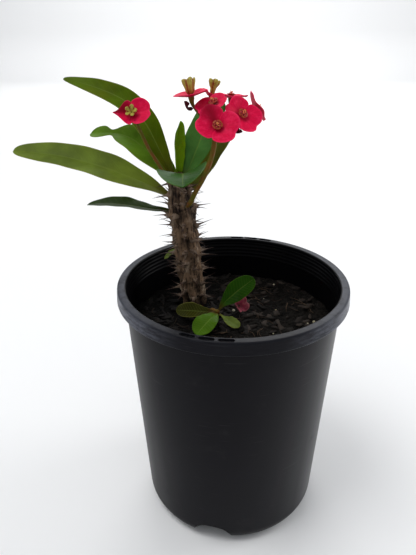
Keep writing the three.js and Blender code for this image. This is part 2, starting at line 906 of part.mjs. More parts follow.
for (const [name, leaf] of Object.entries(leaves))
  addPiece(name, mainBody(blade(leaf).subtract(stemSleeve)), leaf.material);
for (const [name, leaf] of Object.entries(shootLeaves)) {
  const whole = blade({ steps: 7, base: 0.7, ...leaf });
  addPiece(name, mainBody(whole.subtract(shootSleeve)), leaf.material);
}

const single = stalk(singleStalk, 1.6, blooms.single);
addPiece("single_stalk", mainBody(single.subtract(stemSleeve)), stalkBrown);
const cluster = joined([
  stalk(clusterStalk, 2.1),
  stalk([forks.middle], 1.5, blooms.front),
  stalk([forks.middle, forks.left], 1.6, blooms.tall_left),
  stalk([forks.left], 1.5, blooms.tall_right),
  stalk([forks.middle], 1.5, blooms.left),
  stalk([forks.middle, forks.back], 1.6, blooms.top),
  stalk([forks.middle, forks.right], 1.6, blooms.right),
  stalk([forks.right], 1.5, blooms.far_right),
]);
addPiece("cluster_stalk", mainBody(cluster.subtract(stemSleeve)), stalkBrown);
for (const [name, scale] of Object.entries(bracteoles)) {
  const whole = blade({ half: 4, steps: 5, base: 1.2, fold: 30, ...scale });
  addPiece(name, seatedOn(whole, cluster, scale.inward), bractDark);
}

for (const [name, bloom] of Object.entries(blooms)) {
  addPiece("bracts_" + name, bractPair(bloom), bractRed);
  addPiece("cup_" + name, cup(bloom), bloom.cup ? cupGreen : cupOrange);
}

addPiece("shoot_stem", shootBar(0), stalkBrown);

// Thorns and bark slivers stay only where they're clear of every leaf and stalk.
solidsByName.delete("pot");
const growing = [...solidsByName.values()];
const clear = (solid) => growing.every((other) => solid.minGap(other, 2) > 0.6);

const thornyStem = joined([stemBar(0), ...thorns().filter(clear)]);
addPiece("stem", thornyStem, bark);

const mixAndChips = joined([soilPlug(), ...barkChips().filter(clear)]);
const ground = mainBody(mixAndChips.subtract(stemSleeve).subtract(shootSleeve));
addPiece("soil", ground, pottingMix);

const down = [0, 0, -1];
addPiece("fallen_bloom", seatedOn(bractPair(fallen), ground, down), bractFaded);

export default part;
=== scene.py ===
"""A crown-of-thorns euphorbia in a black nursery pot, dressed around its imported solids.

Sizes inside the functions are millimetres, as on the drawing; a piece is brought to metres when
it is finished. +Z is up, the front of the plant faces -Y, and the origin is under the pot.
"""

import functools
import math
import random

import bmesh
import bpy
import numpy as np
from bpy.props import FloatProperty, FloatVectorProperty, IntProperty, PointerProperty
from mathutils import Matrix, Vector, noise


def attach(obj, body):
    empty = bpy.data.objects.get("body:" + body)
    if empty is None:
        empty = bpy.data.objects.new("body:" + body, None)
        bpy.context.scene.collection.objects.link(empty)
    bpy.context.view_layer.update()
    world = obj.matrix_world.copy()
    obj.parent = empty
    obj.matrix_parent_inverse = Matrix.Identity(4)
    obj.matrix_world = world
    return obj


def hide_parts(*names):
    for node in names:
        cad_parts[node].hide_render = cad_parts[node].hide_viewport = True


bl_info = {
    "name": "Potted euphorbia",
    "version": (1, 0, 0),
    "blender": (4, 5, 0),
    "location": "3D View > Sidebar > Euphorbia",
    "description": "Builds a crown-of-thorns euphorbia in a nursery pot, piece by piece",
    "category": "Object",
}

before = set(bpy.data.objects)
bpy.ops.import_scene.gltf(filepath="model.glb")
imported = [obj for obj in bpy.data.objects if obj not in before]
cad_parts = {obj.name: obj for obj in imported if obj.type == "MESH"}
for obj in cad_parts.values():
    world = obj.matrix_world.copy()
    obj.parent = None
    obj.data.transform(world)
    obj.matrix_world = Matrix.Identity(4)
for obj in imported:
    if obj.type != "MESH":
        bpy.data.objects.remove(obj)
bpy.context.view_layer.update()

MM = 0.001
TURN = 2 * math.pi

# ---------------------------------------------------------------- numbers


def mix(a, b, share):
    return a + (b - a) * share


def smoothstep(x, low, high):
    share = min(1.0, max(0.0, (x - low) / (high - low)))
    return share * share * (3 - 2 * share)


def hill(x, centre, width):
    """A smooth bump that is 1 at its centre."""
    return math.exp(-(((x - centre) / width) ** 2))


def around(radius, turn):
    return radius * math.cos(turn), radius * math.sin(turn)


def linear(*screen):
    """A screen colour, 0 to 255 a channel, as the linear colour that shaders use."""
    shares = [channel / 255 for channel in screen]
    return tuple(s / 12.92 if s < 0.04045 else ((s + 0.055) / 1.055) ** 2.4 for s in shares)


def scaled(colour, *factors):
    """A colour times one factor, or times one for each channel."""
    return [channel * factor for channel, factor in zip(colour, factors * 3)]


class Route:
    """A smooth line through a few points, measured along its length."""

    SAMPLES = 300

    def __init__(self, points):
        points = np.array([tuple(point) for point in points], float)
        knots = np.vstack([2 * points[0] - points[1], points, 2 * points[-1] - points[-2]])
        spans = len(points) - 1
        table = []
        for share in np.linspace(0, spans, self.SAMPLES + 1):
            span = min(int(share), spans - 1)
            table.append(self.between(knots[span : span + 4], share - span))
        self.table = np.array(table)
        self.tangents = np.gradient(self.table, axis=0)
        steps = np.linalg.norm(np.diff(self.table, axis=0), axis=1)
        reach = np.concatenate([[0], np.cumsum(steps)])
        self.length = float(reach[-1])
        self.share = reach / max(self.length, 1e-9)
        self.pace = np.linspace(0, 1, self.SAMPLES + 1)
        # A direction across the line at each sample, carried along so that it never flips.
        upright = abs(Vector(self.tangents[0]).normalized().x) > 0.8
        across = Vector((0, 1, 0)) if upright else Vector((1, 0, 0))
        self.frames = []
        for tangent in self.tangents:
            along = Vector(tangent).normalized()
            across = (across - along * across.dot(along)).normalized()
            self.frames.append(across)

    @staticmethod
    def between(knots, t):
        """A place between the middle two of four knots, on a centripetal spline."""
        gaps = [float(np.sum((knots[k + 1] - knots[k]) ** 2)) ** 0.25 for k in range(3)]
        if gaps[1] < 1e-4:
            gaps[1] = 1.0
        gaps = [gap if gap >= 1e-4 else gaps[1] for gap in gaps]
        a, b, c, d = knots
        start = (b - a) / gaps[0] - (c - a) / (gaps[0] + gaps[1]) + (c - b) / gaps[1]
        end = (c - b) / gaps[1] - (d - b) / (gaps[1] + gaps[2]) + (d - c) / gaps[2]
        start, end = start * gaps[1], end * gaps[1]
        curve = (-3 * b + 3 * c - 2 * start - end) * t**2 + (2 * b - 2 * c + start + end) * t**3
        return b + start * t + curve

    @staticmethod
    def read(marks, values, share):
        return Vector([float(np.interp(share, marks, column)) for column in values.T])

    def at(self, share):
        return self.read(self.share, self.table, share)

    def by_pace(self, share):
        """A place by the points' own pace, not by length."""
        return self.read(self.pace, self.table, share)

    def along(self, share):
        return self.read(self.share, self.tangents, share).normalized()

    def across(self, share):
        along = self.along(share)
        near = self.frames[int(np.searchsorted(self.share, share).clip(0, self.SAMPLES))]
        right = (near - along * near.dot(along)).normalized()
        return right, along.cross(right)

    def outwards(self, share, turn):
        right, left = self.across(share)
        return right * math.cos(turn) + left * math.sin(turn)


# ---------------------------------------------------------------- meshes


def new_mesh(layer=None):
    """An empty mesh with UVs, and a float layer on its vertices if one is named."""
    bm = bmesh.new()
    bm.loops.layers.uv.new("UVMap")
    if layer:
        bm.verts.layers.float.new(layer)
    return bm


def paint(bm, layer, verts, value):
    """Writes a value, or value(vert), to a float layer, from which a finish reads it."""
    layer = bm.verts.layers.float[layer]
    for vert in verts:
        vert[layer] = value(vert) if callable(value) else value


def grid(bm, columns, rows):
    """A grid of vertices over u from -1 to 1 and v from 0 to 1, with its UVs."""
    made = bmesh.ops.create_grid(bm, x_segments=columns, y_segments=rows, size=1, calc_uvs=True)
    return [(vert, vert.co.x, (vert.co.y + 1) / 2) for vert in made["verts"]]


def wrapped(bm, columns, rows, place_at, material=0):
    """A grid rolled into a closed round skin. place_at(turn, v) gives each place, turn in radians."""
    before = set(bm.faces)
    cells = grid(bm, columns, rows)
    for vert, u, v in cells:
        vert.co = place_at((u + 1) * math.pi, v)
    verts = [vert for vert, _, _ in cells]
    bmesh.ops.remove_doubles(bm, verts=verts, dist=1e-4)
    verts = [vert for vert in verts if vert.is_valid]
    own = set(verts)
    rims = [edge for edge in bm.edges if edge.is_boundary and edge.verts[0] in own]
    bmesh.ops.holes_fill(bm, edges=rims, sides=0)
    for face in set(bm.faces) - before:
        face.material_index = material
    return verts


def tube(bm, route, radius_at, sides, steps, material=0):
    """A round bar along a route or points, closed at both ends. radius_at(share, turn) is its radius."""
    route = route if isinstance(route, Route) else Route(route)

    def place(turn, v):
        right, left = route.across(v)
        x, y = around(radius_at(v, turn), turn)
        return route.at(v) + right * x + left * y

    return wrapped(bm, sides, steps, place, material)


def turned(bm, profile, sides):
    """A profile of (radius, height) pairs spun about the Z axis, in an empty mesh."""
    verts = [bm.verts.new((radius, 0, height)) for radius, height in profile]
    edges = [bm.edges.new(pair) for pair in zip(verts, verts[1:])]
    axis = dict(cent=(0, 0, 0), axis=(0, 0, 1), angle=TURN)
    bmesh.ops.spin(bm, geom=verts + edges, steps=sides, use_merge=True, **axis)
    bmesh.ops.remove_doubles(bm, verts=bm.verts, dist=1e-4)


def finish_piece(name, bm, finishes, slot=None, stands_for=(), repair=True):
    """Brings a mesh to metres, makes it an object of the given name, and joins it to the frame."""
    if repair:
        bmesh.ops.recalc_face_normals(bm, faces=bm.faces)
        if bm.calc_volume(signed=True) < 0:
            bmesh.ops.reverse_faces(bm, faces=bm.faces)
    bmesh.ops.scale(bm, vec=(MM, MM, MM), verts=bm.verts)
    for face in bm.faces:
        face.smooth = True
    mesh = bpy.data.meshes.new(name)
    bm.to_mesh(mesh)
    bm.free()
    piece = bpy.data.objects.new(name, mesh)
    bpy.context.scene.collection.objects.link(piece)
    for finish in finishes:
        mesh.materials.append(finish_of(finish))
    if slot:
        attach(piece, "root")
    if stands_for:
        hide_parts(*stands_for)
    return piece


def add_modifier(piece, kind, **options):
    modifier = piece.modifiers.new(kind.title(), kind)
    for name, value in options.items():
        setattr(modifier, name, value)


def smooth_finer(piece):
    add_modifier(piece, "SUBSURF", levels=1, render_levels=1)


def thicken(piece, thickness, **options):
    """Gives a sheet its thickness, in metres, and a finer surface."""
    add_modifier(piece, "SOLIDIFY", thickness=thickness, offset=0, use_even_offset=False, **options)
    smooth_finer(piece)


def bake_modifiers(piece):
    """Makes a piece's mesh what its modifiers show, and takes them off."""
    bpy.context.view_layer.update()
    graph = bpy.context.evaluated_depsgraph_get()
    mesh = bpy.data.meshes.new_from_object(piece.evaluated_get(graph))
    piece.modifiers.clear()
    old, piece.data = piece.data, mesh
    bpy.data.meshes.remove(old)


# ---------------------------------------------------------------- shader nodes


def node(tree, kind, inputs=(), out=0, **options):
    """A new node's output, or all of them by name if out is None.

    Inputs go by name or in their order. Each is a plain value, or a Value to link.
    """
    made = tree.nodes.new(kind)
    for name, value in options.items():
        setattr(made, name, value)
    for socket, value in inputs.items() if isinstance(inputs, dict) else enumerate(inputs):
        if isinstance(value, Value):
            tree.links.new(value.socket, made.inputs[socket])
        else:
            made.inputs[socket].default_value = value
    if out is None:
        return {socket.name: Value(tree, socket) for socket in made.outputs}
    return Value(tree, made.outputs[out])


class Value:
    """What a node gives out. Arithmetic on it, with values or plain numbers, adds Math nodes."""

    def __init__(self, tree, socket):
        self.tree, self.socket = tree, socket

    def maths(self, operation, *others, clamp=False):
        return node(self.tree, "ShaderNodeMath", [self, *others], operation=operation, use_clamp=clamp)

    def __add__(self, other):
        return self.maths("ADD", other)

    def __sub__(self, other):
        return self.maths("SUBTRACT", other)

    def __rsub__(self, number):
        return node(self.tree, "ShaderNodeMath", [number, self], operation="SUBTRACT")

    def __mul__(self, other):
        return self.maths("MULTIPLY", other)

    def band(self, low, high, start=0.0, end=1.0):
        """A smooth step from start to end as the value goes from low to high."""
        inputs = {"Value": self, "From Min": low, "From Max": high, "To Min": start, "To Max": end}
        return node(self.tree, "ShaderNodeMapRange", inputs, interpolation_type="SMOOTHSTEP")

    def blend(self, a, b):
        """Colour a where the value is 0, colour b where it is 1."""
        a, b = (colour if isinstance(colour, Value) else (*colour[:3], 1) for colour in (a, b))
        return node(self.tree, "ShaderNodeMix", {0: self, 6: a, 7: b}, 2, data_type="RGBA")

    def noise(self, scale, detail=4.0, roughness=0.55):
        inputs = {"Vector": self, "Scale": scale, "Detail": detail, "Roughness": roughness}
        return node(self.tree, "ShaderNodeTexNoise", inputs, "Fac")

    def stretched(self, *scale):
        return node(self.tree, "ShaderNodeMapping", {"Vector": self, "Scale": scale})

    def axes(self):
        return list(node(self.tree, "ShaderNodeSeparateXYZ", [self], None).values())


class Finish:
    """A material in the making. The constants are plain values on its Principled shader's sockets."""

    def __init__(self, name, **constants):
        self.material = bpy.data.materials.new(name)
        self.material.use_nodes = True
        self.tree = self.material.node_tree
        self.shader = self.tree.nodes["Principled BSDF"].inputs
        for socket, value in constants.items():
            self.shader[socket.replace("_", " ")].default_value = value
        spaces = node(self.tree, "ShaderNodeTexCoord", out=None)
        self.where, self.uv = spaces["Object"], spaces["UV"]

    def painted(self, layer):
        return node(self.tree, "ShaderNodeAttribute", out="Fac", attribute_name=layer)

    def group(self, build, **inputs):
        """A shared effect, placed with its own values. Its group is built the first time."""
        tree = bpy.data.node_groups.get(build.__name__) or new_group(build)
        inputs = {label.replace("_", " "): value for label, value in inputs.items()}
        return node(self.tree, "ShaderNodeGroup", inputs, None, node_tree=tree)

    def grain(self, scale, patch_scale):
        return self.group(grain, Vector=self.where, Scale=scale, Patch_Scale=patch_scale)

    def done(self, height, strength, distance, **linked):
        """The material, with the linked values and a bump of the given height on its shader."""
        inputs = {"Height": height, "Strength": strength, "Distance": distance}
        linked["Normal"] = node(self.tree, "ShaderNodeBump", inputs)
        for socket, value in linked.items():
            self.tree.links.new(value.socket, self.shader[socket.replace("_", " ")])
        return self.material


# ---------------------------------------------------------------- shared surface effects

# The inputs of each group, with their defaults; None marks a vector.
GROUP_INPUTS = {
    "grain": {"Vector": None, "Scale": 400.0, "Patch Scale": 25.0},
    "leaf_pattern": {"UV": None, "Object": None, "Vein Pairs": 15.0, "Midrib Width": 0.07},
    "petal_pattern": {"UV": None, "Object": None},
}


def new_group(build):
    """The shader node group of a shared effect. build() turns its inputs into its outputs."""
    tree = bpy.data.node_groups.new(build.__name__, "ShaderNodeTree")
    for label, default in GROUP_INPUTS[build.__name__].items():
        kind = "NodeSocketVector" if default is None else "NodeSocketFloat"
        socket = tree.interface.new_socket(label, in_out="INPUT", socket_type=kind)
        if default is not None:
            socket.default_value = default
    outputs = build(node(tree, "NodeGroupInput", out=None))
    for label in outputs:
        tree.interface.new_socket(label, in_out="OUTPUT", socket_type="NodeSocketFloat")
    node(tree, "NodeGroupOutput", outputs, None)
    return tree


def grain(source):
    """Fine grain, and broad patches."""
    fine = source["Vector"].noise(source["Scale"], 3.0)
    patches = source["Vector"].noise(source["Patch Scale"], 5.0, 0.6)
    return {"Fine": fine, "Patches": patches, "Height": fine * 0.4 + patches}


def leaf_pattern(source):
    """A midrib that narrows, paired veins, a margin, a foot and mottling."""
    where = source["Object"]
    across, along, _ = source["UV"].axes()
    side = across.maths("MULTIPLY_ADD", 2.0, -1.0).maths("ABSOLUTE")
    shift = (where.noise(55.0, 2.0) - 0.5) * 0.05
    rib_edge = source["Midrib Width"] * (1.25 - along)
    midrib = side.maths("DIVIDE", rib_edge).band(0.25, 1.4, 1.0, 0.0)
    wave = ((along + shift - side * 0.12) * source["Vein Pairs"]).maths("PINGPONG", 0.5)
    veins = wave.band(0.0, 0.12, 1.0, 0.0) * side.band(0.75, 0.95, 1.0, 0.0)
    return {
        "Midrib": midrib,
        "Veins": veins,
        "Margin": side.band(0.9, 1.0),
        "Mottle": where.noise(38.0, 6.0),
        "Foot": along.band(0.01, 0.2, 1.0, 0.0),
        "Height": midrib * -0.7 + veins * -0.3 + where.noise(900.0, 2.0) * 0.25,
    }


def petal_pattern(source):
    """Fine rays, a centre, a rim and mottling."""
    rays = source["UV"].stretched(46.0, 2.2, 1.0).noise(1.0, 3.0, 0.6)
    _, along, _ = source["UV"].axes()
    return {
        "Veins": rays.band(0.42, 0.62),
        "Centre": along.band(0.12, 0.5, 1.0, 0.0),
        "Rim": along.band(0.86, 1.0),
        "Mottle": source["Object"].noise(260.0, 4.0, 0.6),
        "Height": rays + source["Object"].noise(1600.0, 2.0) * 0.5,
    }


# ---------------------------------------------------------------- finishes


def plastic_finish(name, colour):
    """Scuffed black plastic, glossier to the right. The rim's top and sides are paler in scuff-like patches,
    partly scuffs and partly painted reflection, and the inside is darkened as painted shade.
    """
    finish = Finish(name, Specular_IOR_Level=0.07, Coat_IOR=1.2, Coat_Roughness=0.3)
    where, skin, pot = finish.where, finish.grain(900.0, 18.0), settings("pot")
    x, y, z = where.axes()
    skirt_at, lean = pot.height - pot.skirt, (pot.top_radius - pot.base_radius) / straight_height(pot)
    wall_middle = z.maths("MULTIPLY_ADD", lean, pot.base_radius - lean * pot.corner - pot.wall / 2)
    inside = ((x * x + y * y).maths("SQRT") - wall_middle).band(-0.0003, 0.0003, 1.0, 0.0)
    collar = z.band(skirt_at - 0.0004, skirt_at + 0.0004) * (1.0 - inside)
    top = z.band(pot.height - 0.0018, pot.height - 0.0002)
    sides = x.maths("ABSOLUTE").band(0.035, 0.092, 0.03, 1.0)
    scuffs = where.stretched(90.0, 90.0, 420.0).noise(1.0, 6.0, 0.7)
    dust = where.noise(34.0, 6.0, 0.7).band(0.55, 0.8)
    streaks = where.stretched(60.0, 60.0, 5.0).noise(1.0)
    scratches = where.stretched(25.0, 25.0, 900.0).noise(1.0, 2.0).band(0.66, 0.74)
    base = skin["Patches"].blend(scaled(colour, 0.75), scaled(colour, 1.3))
    for share, paler in (
        (dust * 0.16, (0.06, 0.058, 0.056)),
        (scratches * 0.07, (0.2, 0.2, 0.22)),
        # Painted reflection: the collar paler towards its left and right sides, in scuff-like patches that are
        # partly real scuffs.
        (collar * scuffs.band(0.3, 0.7, 0.15, 1.0) * sides, linear(102, 105, 116)),
        # Painted reflection: the rim's top paler, in scuff-like patches that are partly real scuffs.
        (top * scuffs.band(0.3, 0.7, 0.2, 0.7), linear(28, 29, 34)),
        # Painted shade: the inside of the pot darkened to near black.
        (inside * 0.75, (0.001, 0.001, 0.001)),
    ):
        base = share.blend(base, paler)
    polished = x.band(-0.09, 0.06, 0.1, 1.0).maths("SUBTRACT", inside, clamp=True) * 0.4
    rough = streaks * 0.16 + 0.3 + dust * 0.18
    linked = dict(Base_Color=base, Roughness=rough, Coat_Weight=polished)
    return finish.done(skin["Height"], 0.12, 0.0004, **linked)


def dryness(where):
    """How much painted light the mix gets: painted shade, dark to the left, lighter to the right."""
    return (where.axes()[0] + where.noise(30.0) * 0.03).band(-0.05, 0.05, 0.1, 1.0)


def soil_finish(name, dark, light):
    finish = Finish(name, Roughness=0.9, Specular_IOR_Level=0.1)
    skin = finish.grain(1100.0, 120.0)
    inputs = {"Vector": finish.where, "Scale": 420.0}
    crumbs = node(finish.tree, "ShaderNodeTexVoronoi", inputs, "Distance")
    base = (skin["Patches"] * (crumbs + 0.55)).band(0.28, 0.66).blend(dark, light)
    # Painted shade: the mix darker to the left.
    base = dryness(finish.where).blend(scaled(dark, 0.3), base)
    return finish.done(skin["Height"] + crumbs * 0.9, 0.9, 0.0015, Base_Color=base)


def fibre_finish(name, dark, light):
    """Wood fibre: each piece has its own tone, from the mesh, with grain along it."""
    finish = Finish(name, Roughness=0.8, Specular_IOR_Level=0.15)
    lines = finish.uv.stretched(14.0, 2.0, 1.0).noise(1.0)
    share = (finish.painted("tone") * 0.75).maths("ADD", lines * 0.3, clamp=True)
    # Painted shade: the fibres, slivers and grains darker to the left.
    base = (share * dryness(finish.where)).blend(dark, light)
    return finish.done(lines, 0.6, 0.0004, Base_Color=base)


def bark_finish(name, crevice, ridge, ash):
    """Cracked bark, with the relief from the mesh, and ashen patches on its ridges."""
    finish = Finish(name, Roughness=0.82, Specular_IOR_Level=0.15)
    where, skin = finish.where, finish.grain(1500.0, 90.0)
    long_grain = where.stretched(520.0, 520.0, 110.0).noise(1.0, 6.0, 0.65)
    cracks = where.stretched(700.0, 700.0, 60.0).noise(1.0, 3.0, 0.6)
    tone = finish.painted("relief") * 0.6 + long_grain * 0.5
    ashen = skin["Patches"].band(0.5, 0.68) * tone.band(0.4, 0.75)
    base = (ashen * 0.75).blend(tone.band(0.3, 0.8).blend(crevice, ridge), ash)
    base = cracks.band(0.36, 0.46, 0.8, 0.0).blend(base, scaled(crevice, 0.4))
    height = long_grain + skin["Fine"] * 0.35 + cracks.band(0.34, 0.5) * 0.8
    return finish.done(height, 0.8, 0.0012, Base_Color=base)


def thorn_finish(name, foot, tip):
    finish = Finish(name, Roughness=0.6, Specular_IOR_Level=0.2)
    patches = finish.where.noise(420.0, 3.0)
    share = finish.uv.axes()[1].band(0.15, 0.75).maths("ADD", patches * 0.3, clamp=True)
    return finish.done(patches, 0.4, 0.0004, Base_Color=share.blend(foot, tip))


def leaf_finish(name, colour, vein, margin, foot, rough, veins, aged, midrib):
    """A blade mottled in its own green, yellowed in patches by its age."""
    finish = Finish(name, Specular_IOR_Level=0.05)
    pattern = finish.group(leaf_pattern, UV=finish.uv, Object=finish.where)
    base = pattern["Mottle"].band(0.3, 0.7).blend(scaled(colour, 0.72), scaled(colour, 1.24))
    patches = finish.where.noise(21.0, 3.0).band(0.5, 0.72)
    base = (patches * aged).blend(base, scaled(colour, 1.7, 1.05, 0.5))
    layers = (("Veins", veins, vein), ("Midrib", midrib, vein), ("Margin", 0.7, margin), ("Foot", 0.65, foot))
    for part, share, paint_colour in layers:
        base = (pattern[part] * share).blend(base, paint_colour)
    linked = dict(Base_Color=base, Roughness=pattern["Mottle"] * 0.2 + (rough - 0.1))
    return finish.done(pattern["Height"], 0.35, 0.0006, **linked)


def bract_finish(name, colour, deep, rim):
    """A velvety bract, darker at its centre, and with painted shade where the mesh's shade layer marks it."""
    sheen = dict(Sheen_Weight=0.03, Sheen_Roughness=0.4, Sheen_Tint=(1.0, 0.2, 0.4, 1.0))
    finish = Finish(name, Specular_IOR_Level=0.09, **sheen)
    pattern = finish.group(petal_pattern, UV=finish.uv, Object=finish.where)
    base = (pattern["Veins"] * 0.22).blend(colour, deep)
    base = (pattern["Mottle"].band(0.45, 0.7) * 0.4).blend(base, rim)
    base = (pattern["Centre"] * 0.75).blend(base, deep)
    base = (pattern["Rim"] * 0.5).blend(base, rim)
    # Painted shade: the deep colour, darker still, where the mesh's shade layer marks it.
    base = finish.painted("shade").blend(base, scaled(deep, 0.6))
    linked = dict(Base_Color=base, Roughness=pattern["Mottle"] * 0.2 + 0.45)
    return finish.done(pattern["Height"], 0.12, 0.0005, **linked)


def stained_finish(name, clean, stain):
    """A soft skin whose stain comes from the mesh, such as red in the grooves of a green cup."""
    finish = Finish(name, Roughness=0.45, Specular_IOR_Level=0.2)
    skin = finish.grain(1800.0, 500.0)
    share = finish.painted("tone").maths("ADD", (skin["Patches"] - 0.42) * 1.5, clamp=True)
    return finish.done(skin["Height"], 0.3, 0.0004, Base_Color=share.blend(clean, stain))


def stalk_finish(name, green, brown):
    finish = Finish(name, Roughness=0.55, Specular_IOR_Level=0.12)
    skin = finish.grain(1400.0, 150.0)
    base = skin["Patches"].band(0.35, 0.65).blend(green, brown)
    return finish.done(skin["Height"], 0.3, 0.0005, Base_Color=base)


def floor_finish(name, colour):
    return Finish(name, Roughness=0.9, Specular_IOR_Level=0.1, Base_Color=(*colour, 1)).material


# ---------------------------------------------------------------- what a user would change


def length(name, description, millimetres):
    return FloatProperty(
        name=name, description=description, default=millimetres * MM, min=0, subtype="DISTANCE", unit="LENGTH"
    )


def colour(name, description, *screen):
    return FloatVectorProperty(
        name=name, description=description, default=linear(*screen), min=0, max=1, size=3, subtype="COLOR"
    )


def share_of(name, description, value):
    return FloatProperty(name=name, description=description, default=value, min=0, max=1, subtype="FACTOR")


def count(name, description, value):
    return IntProperty(name=name, description=description, default=value, min=1)


STEM_RADIUS = 10.6


class PotSettings(bpy.types.PropertyGroup):
    rim_radius: length("Rim radius", "Outside radius of the flat rim", 100)
    height: length("Height", "Height of the pot to the top of its rim", 232)
    rim_width: length("Rim width", "Width of the flat ring on top", 7.6)
    skirt: length("Skirt", "Drop of the rim's outer skirt", 11.5)
    wall: length("Wall", "Thickness of the wall", 1.6)
    top_radius: length("Top radius", "Outside radius of the wall under the skirt", 93.8)
    base_radius: length("Base radius", "Outside radius of the wall carried down to the ground", 82.4)
    corner: length("Corner", "Radius between the wall and the base", 15)
    ribs: count("Ribs", "Fine ribs inside the lip", 5)
    plastic: colour("Plastic", "Colour of the moulded plastic", 10, 9, 15)


class SoilSettings(bpy.types.PropertyGroup):
    level: length("Level", "Height of the potting mix", 192)
    chips: count("Chips", "Slivers of bark on the surface", 230)
    fibres: count("Fibres", "Fine fibres on the surface", 150)
    specks: count("Specks", "Pale grains on the surface", 16)
    dark: colour("Dark", "Damp hollows of the mix", 6, 5, 4)
    light: colour("Light", "Dry crumbs of the mix", 25, 22, 19)


class StemSettings(bpy.types.PropertyGroup):
    radius: length("Radius", "Radius of the stem between its knuckles", STEM_RADIUS)
    thorn: length("Thorn length", "Length of the longest thorns", 16)
    crevice: colour("Crevice", "Bark in the cracks", 32, 22, 16)
    ridge: colour("Ridge", "Bark on the ridges", 122, 98, 77)
    ash: colour("Ash", "Weathered patches on the ridges", 168, 150, 130)
    thorn_foot: colour("Thorn foot", "Thorns where they widen", 118, 100, 84)
    thorn_tip: colour("Thorn tip", "Thorns towards their points", 58, 40, 34)


class LeafSettings(bpy.types.PropertyGroup):
    thickness: length("Thickness", "Thickness of a blade at its foot", 2.4)
    green: colour("Green", "Full-grown leaves", 70, 102, 14)
    dark: colour("Dark", "Shaded blue-green leaves", 50, 84, 40)
    olive: colour("Olive", "Older leaves", 92, 108, 44)
    young: colour("Young", "Young leaves", 62, 98, 14)
    vein: colour("Vein", "Midribs", 124, 144, 62)
    foot: colour("Foot", "Reddish leaf feet", 84, 56, 30)


class BloomSettings(bpy.types.PropertyGroup):
    bract_thickness: length("Bract thickness", "Thickness of a bract", 0.6)
    bract: colour("Bract", "Fresh bracts", 216, 6, 64)
    # deep is also the colour, darker still, of the bracts' painted shade.
    deep: colour("Deep", "Bracts near the cup and in their folds", 148, 0, 30)
    rim: colour("Rim", "Edge of a bract", 240, 44, 96)
    faded: colour("Faded", "The fallen bloom", 150, 60, 80)
    scale: colour("Scale", "Small dark scales under the forks", 74, 12, 26)
    gland: colour("Gland", "Glands of an open cup", 158, 70, 34)
    cup: colour("Cup", "Young closed cups", 176, 174, 74)
    stain: colour("Stain", "Red in the grooves of the cups", 130, 26, 22)
    stalk: colour("Stalk", "Green of the flower stalks", 92, 88, 24)
    stalk_brown: colour("Stalk brown", "Brown of the flower stalks", 118, 72, 32)


class StageSettings(bpy.types.PropertyGroup):
    floor: colour("Floor", "Colour of the floor", 240, 240, 240)
    light: share_of("Light", "Strength of the sky, as a share", 0.5)


def settings(name):
    return getattr(bpy.context.scene, "euphorbia_" + name)


def mm(value):
    return value / MM


def leaf_look(name, look):
    """The finish of one leaf, in its own tint of the leaf colour that it is given."""
    leaf, kind = settings("leaf"), look["finish"].removeprefix("leaf_")
    tinted = [min(1.0, channel) for channel in scaled(getattr(leaf, kind), *look.get("tint", (1,)))]
    vein = [mix(own, pale, 0.55) for own, pale in zip(tinted, leaf.vein)]
    pale_edged = kind in ("green", "olive")
    margin, rough = (linear(128, 128, 56), 0.44) if pale_edged else (leaf.green, 0.36)
    strengths = look.get("veins", 0.14), look.get("aged", 0.5), look.get("midrib", 0.5)
    return leaf_finish(name, tinted, vein, margin, leaf.foot, rough, *strengths)


@functools.cache
def finish_of(name):
    """A finish by its own name or its leaf's, made when it is first asked for."""
    if name in ALL_LEAVES:
        return leaf_look(name, ALL_LEAVES[name])
    ground, bark, bloom = settings("soil"), settings("stem"), settings("bloom")
    make, *colours = {
        "pot_plastic": (plastic_finish, settings("pot").plastic),
        "potting_mix": (soil_finish, ground.dark, ground.light),
        "bark_chip": (fibre_finish, linear(7, 6, 6), linear(62, 54, 48)),
        "fibre": (fibre_finish, linear(26, 20, 16), linear(84, 68, 54)),
        "speck": (fibre_finish, linear(150, 140, 96), linear(214, 208, 190)),
        "bark": (bark_finish, bark.crevice, bark.ridge, bark.ash),
        "thorn": (thorn_finish, bark.thorn_foot, bark.thorn_tip),
        "stalk": (stalk_finish, bloom.stalk, bloom.stalk_brown),
        "bract_red": (bract_finish, bloom.bract, bloom.deep, bloom.rim),
        "bract_dark": (bract_finish, bloom.scale, linear(44, 6, 14), linear(104, 26, 40)),
        "bract_faded": (bract_finish, bloom.faded, linear(96, 24, 40), linear(190, 120, 120)),
        "cup_green": (stained_finish, bloom.cup, bloom.stain),
        "cup_orange": (stained_finish, bloom.gland, bloom.stain),
        "stamen": (stained_finish, linear(220, 60, 84), linear(236, 168, 92)),
        "floor_paint": (floor_finish, settings("stage").floor),
    }[name]
    return make(name, *colours)


# ---------------------------------------------------------------- the pot

# Degrees from -Y towards +X of the front label slots and of the first drain cut-out under them.
FRONT_AT = -11
SLOT_PITCH, SLOT_HALF_ARC, SLOT_HALF_WIDTH, SLOT_INSET = 8.7, 3.95, 2.0, 3.6
DRAINS, DRAIN_HALF_WIDTH, DRAIN_HEIGHT, DRAIN_MIDDLE, DRAIN_HALF_DEPTH = 3, 19.5, 19, 76, 20
RIB_PITCH, FIRST_RIB_DROP = 3.6, 4.2
FLOOR_RADIUS = 40


def straight_height(pot):
    """The height of the straight wall between the corner and the skirt, in metres."""
    return pot.height - pot.skirt - pot.corner


def arc(centre, radius, start, end, steps):
    """Points of an arc in the (radius, height) plane, angles in degrees from +radius."""
    turns = (math.radians(mix(start, end, k / steps)) for k in range(steps + 1))
    return [(centre[0] + x, centre[1] + y) for x, y in (around(radius, turn) for turn in turns)]


def wall_radius(z):
    """The pot's inner radius at a height on its straight wall."""
    pot = settings("pot")
    corner = mm(pot.corner)
    share = (z - corner) / (mm(pot.height) - mm(pot.skirt) - corner)
    return mix(mm(pot.base_radius), mm(pot.top_radius), share) - mm(pot.wall)


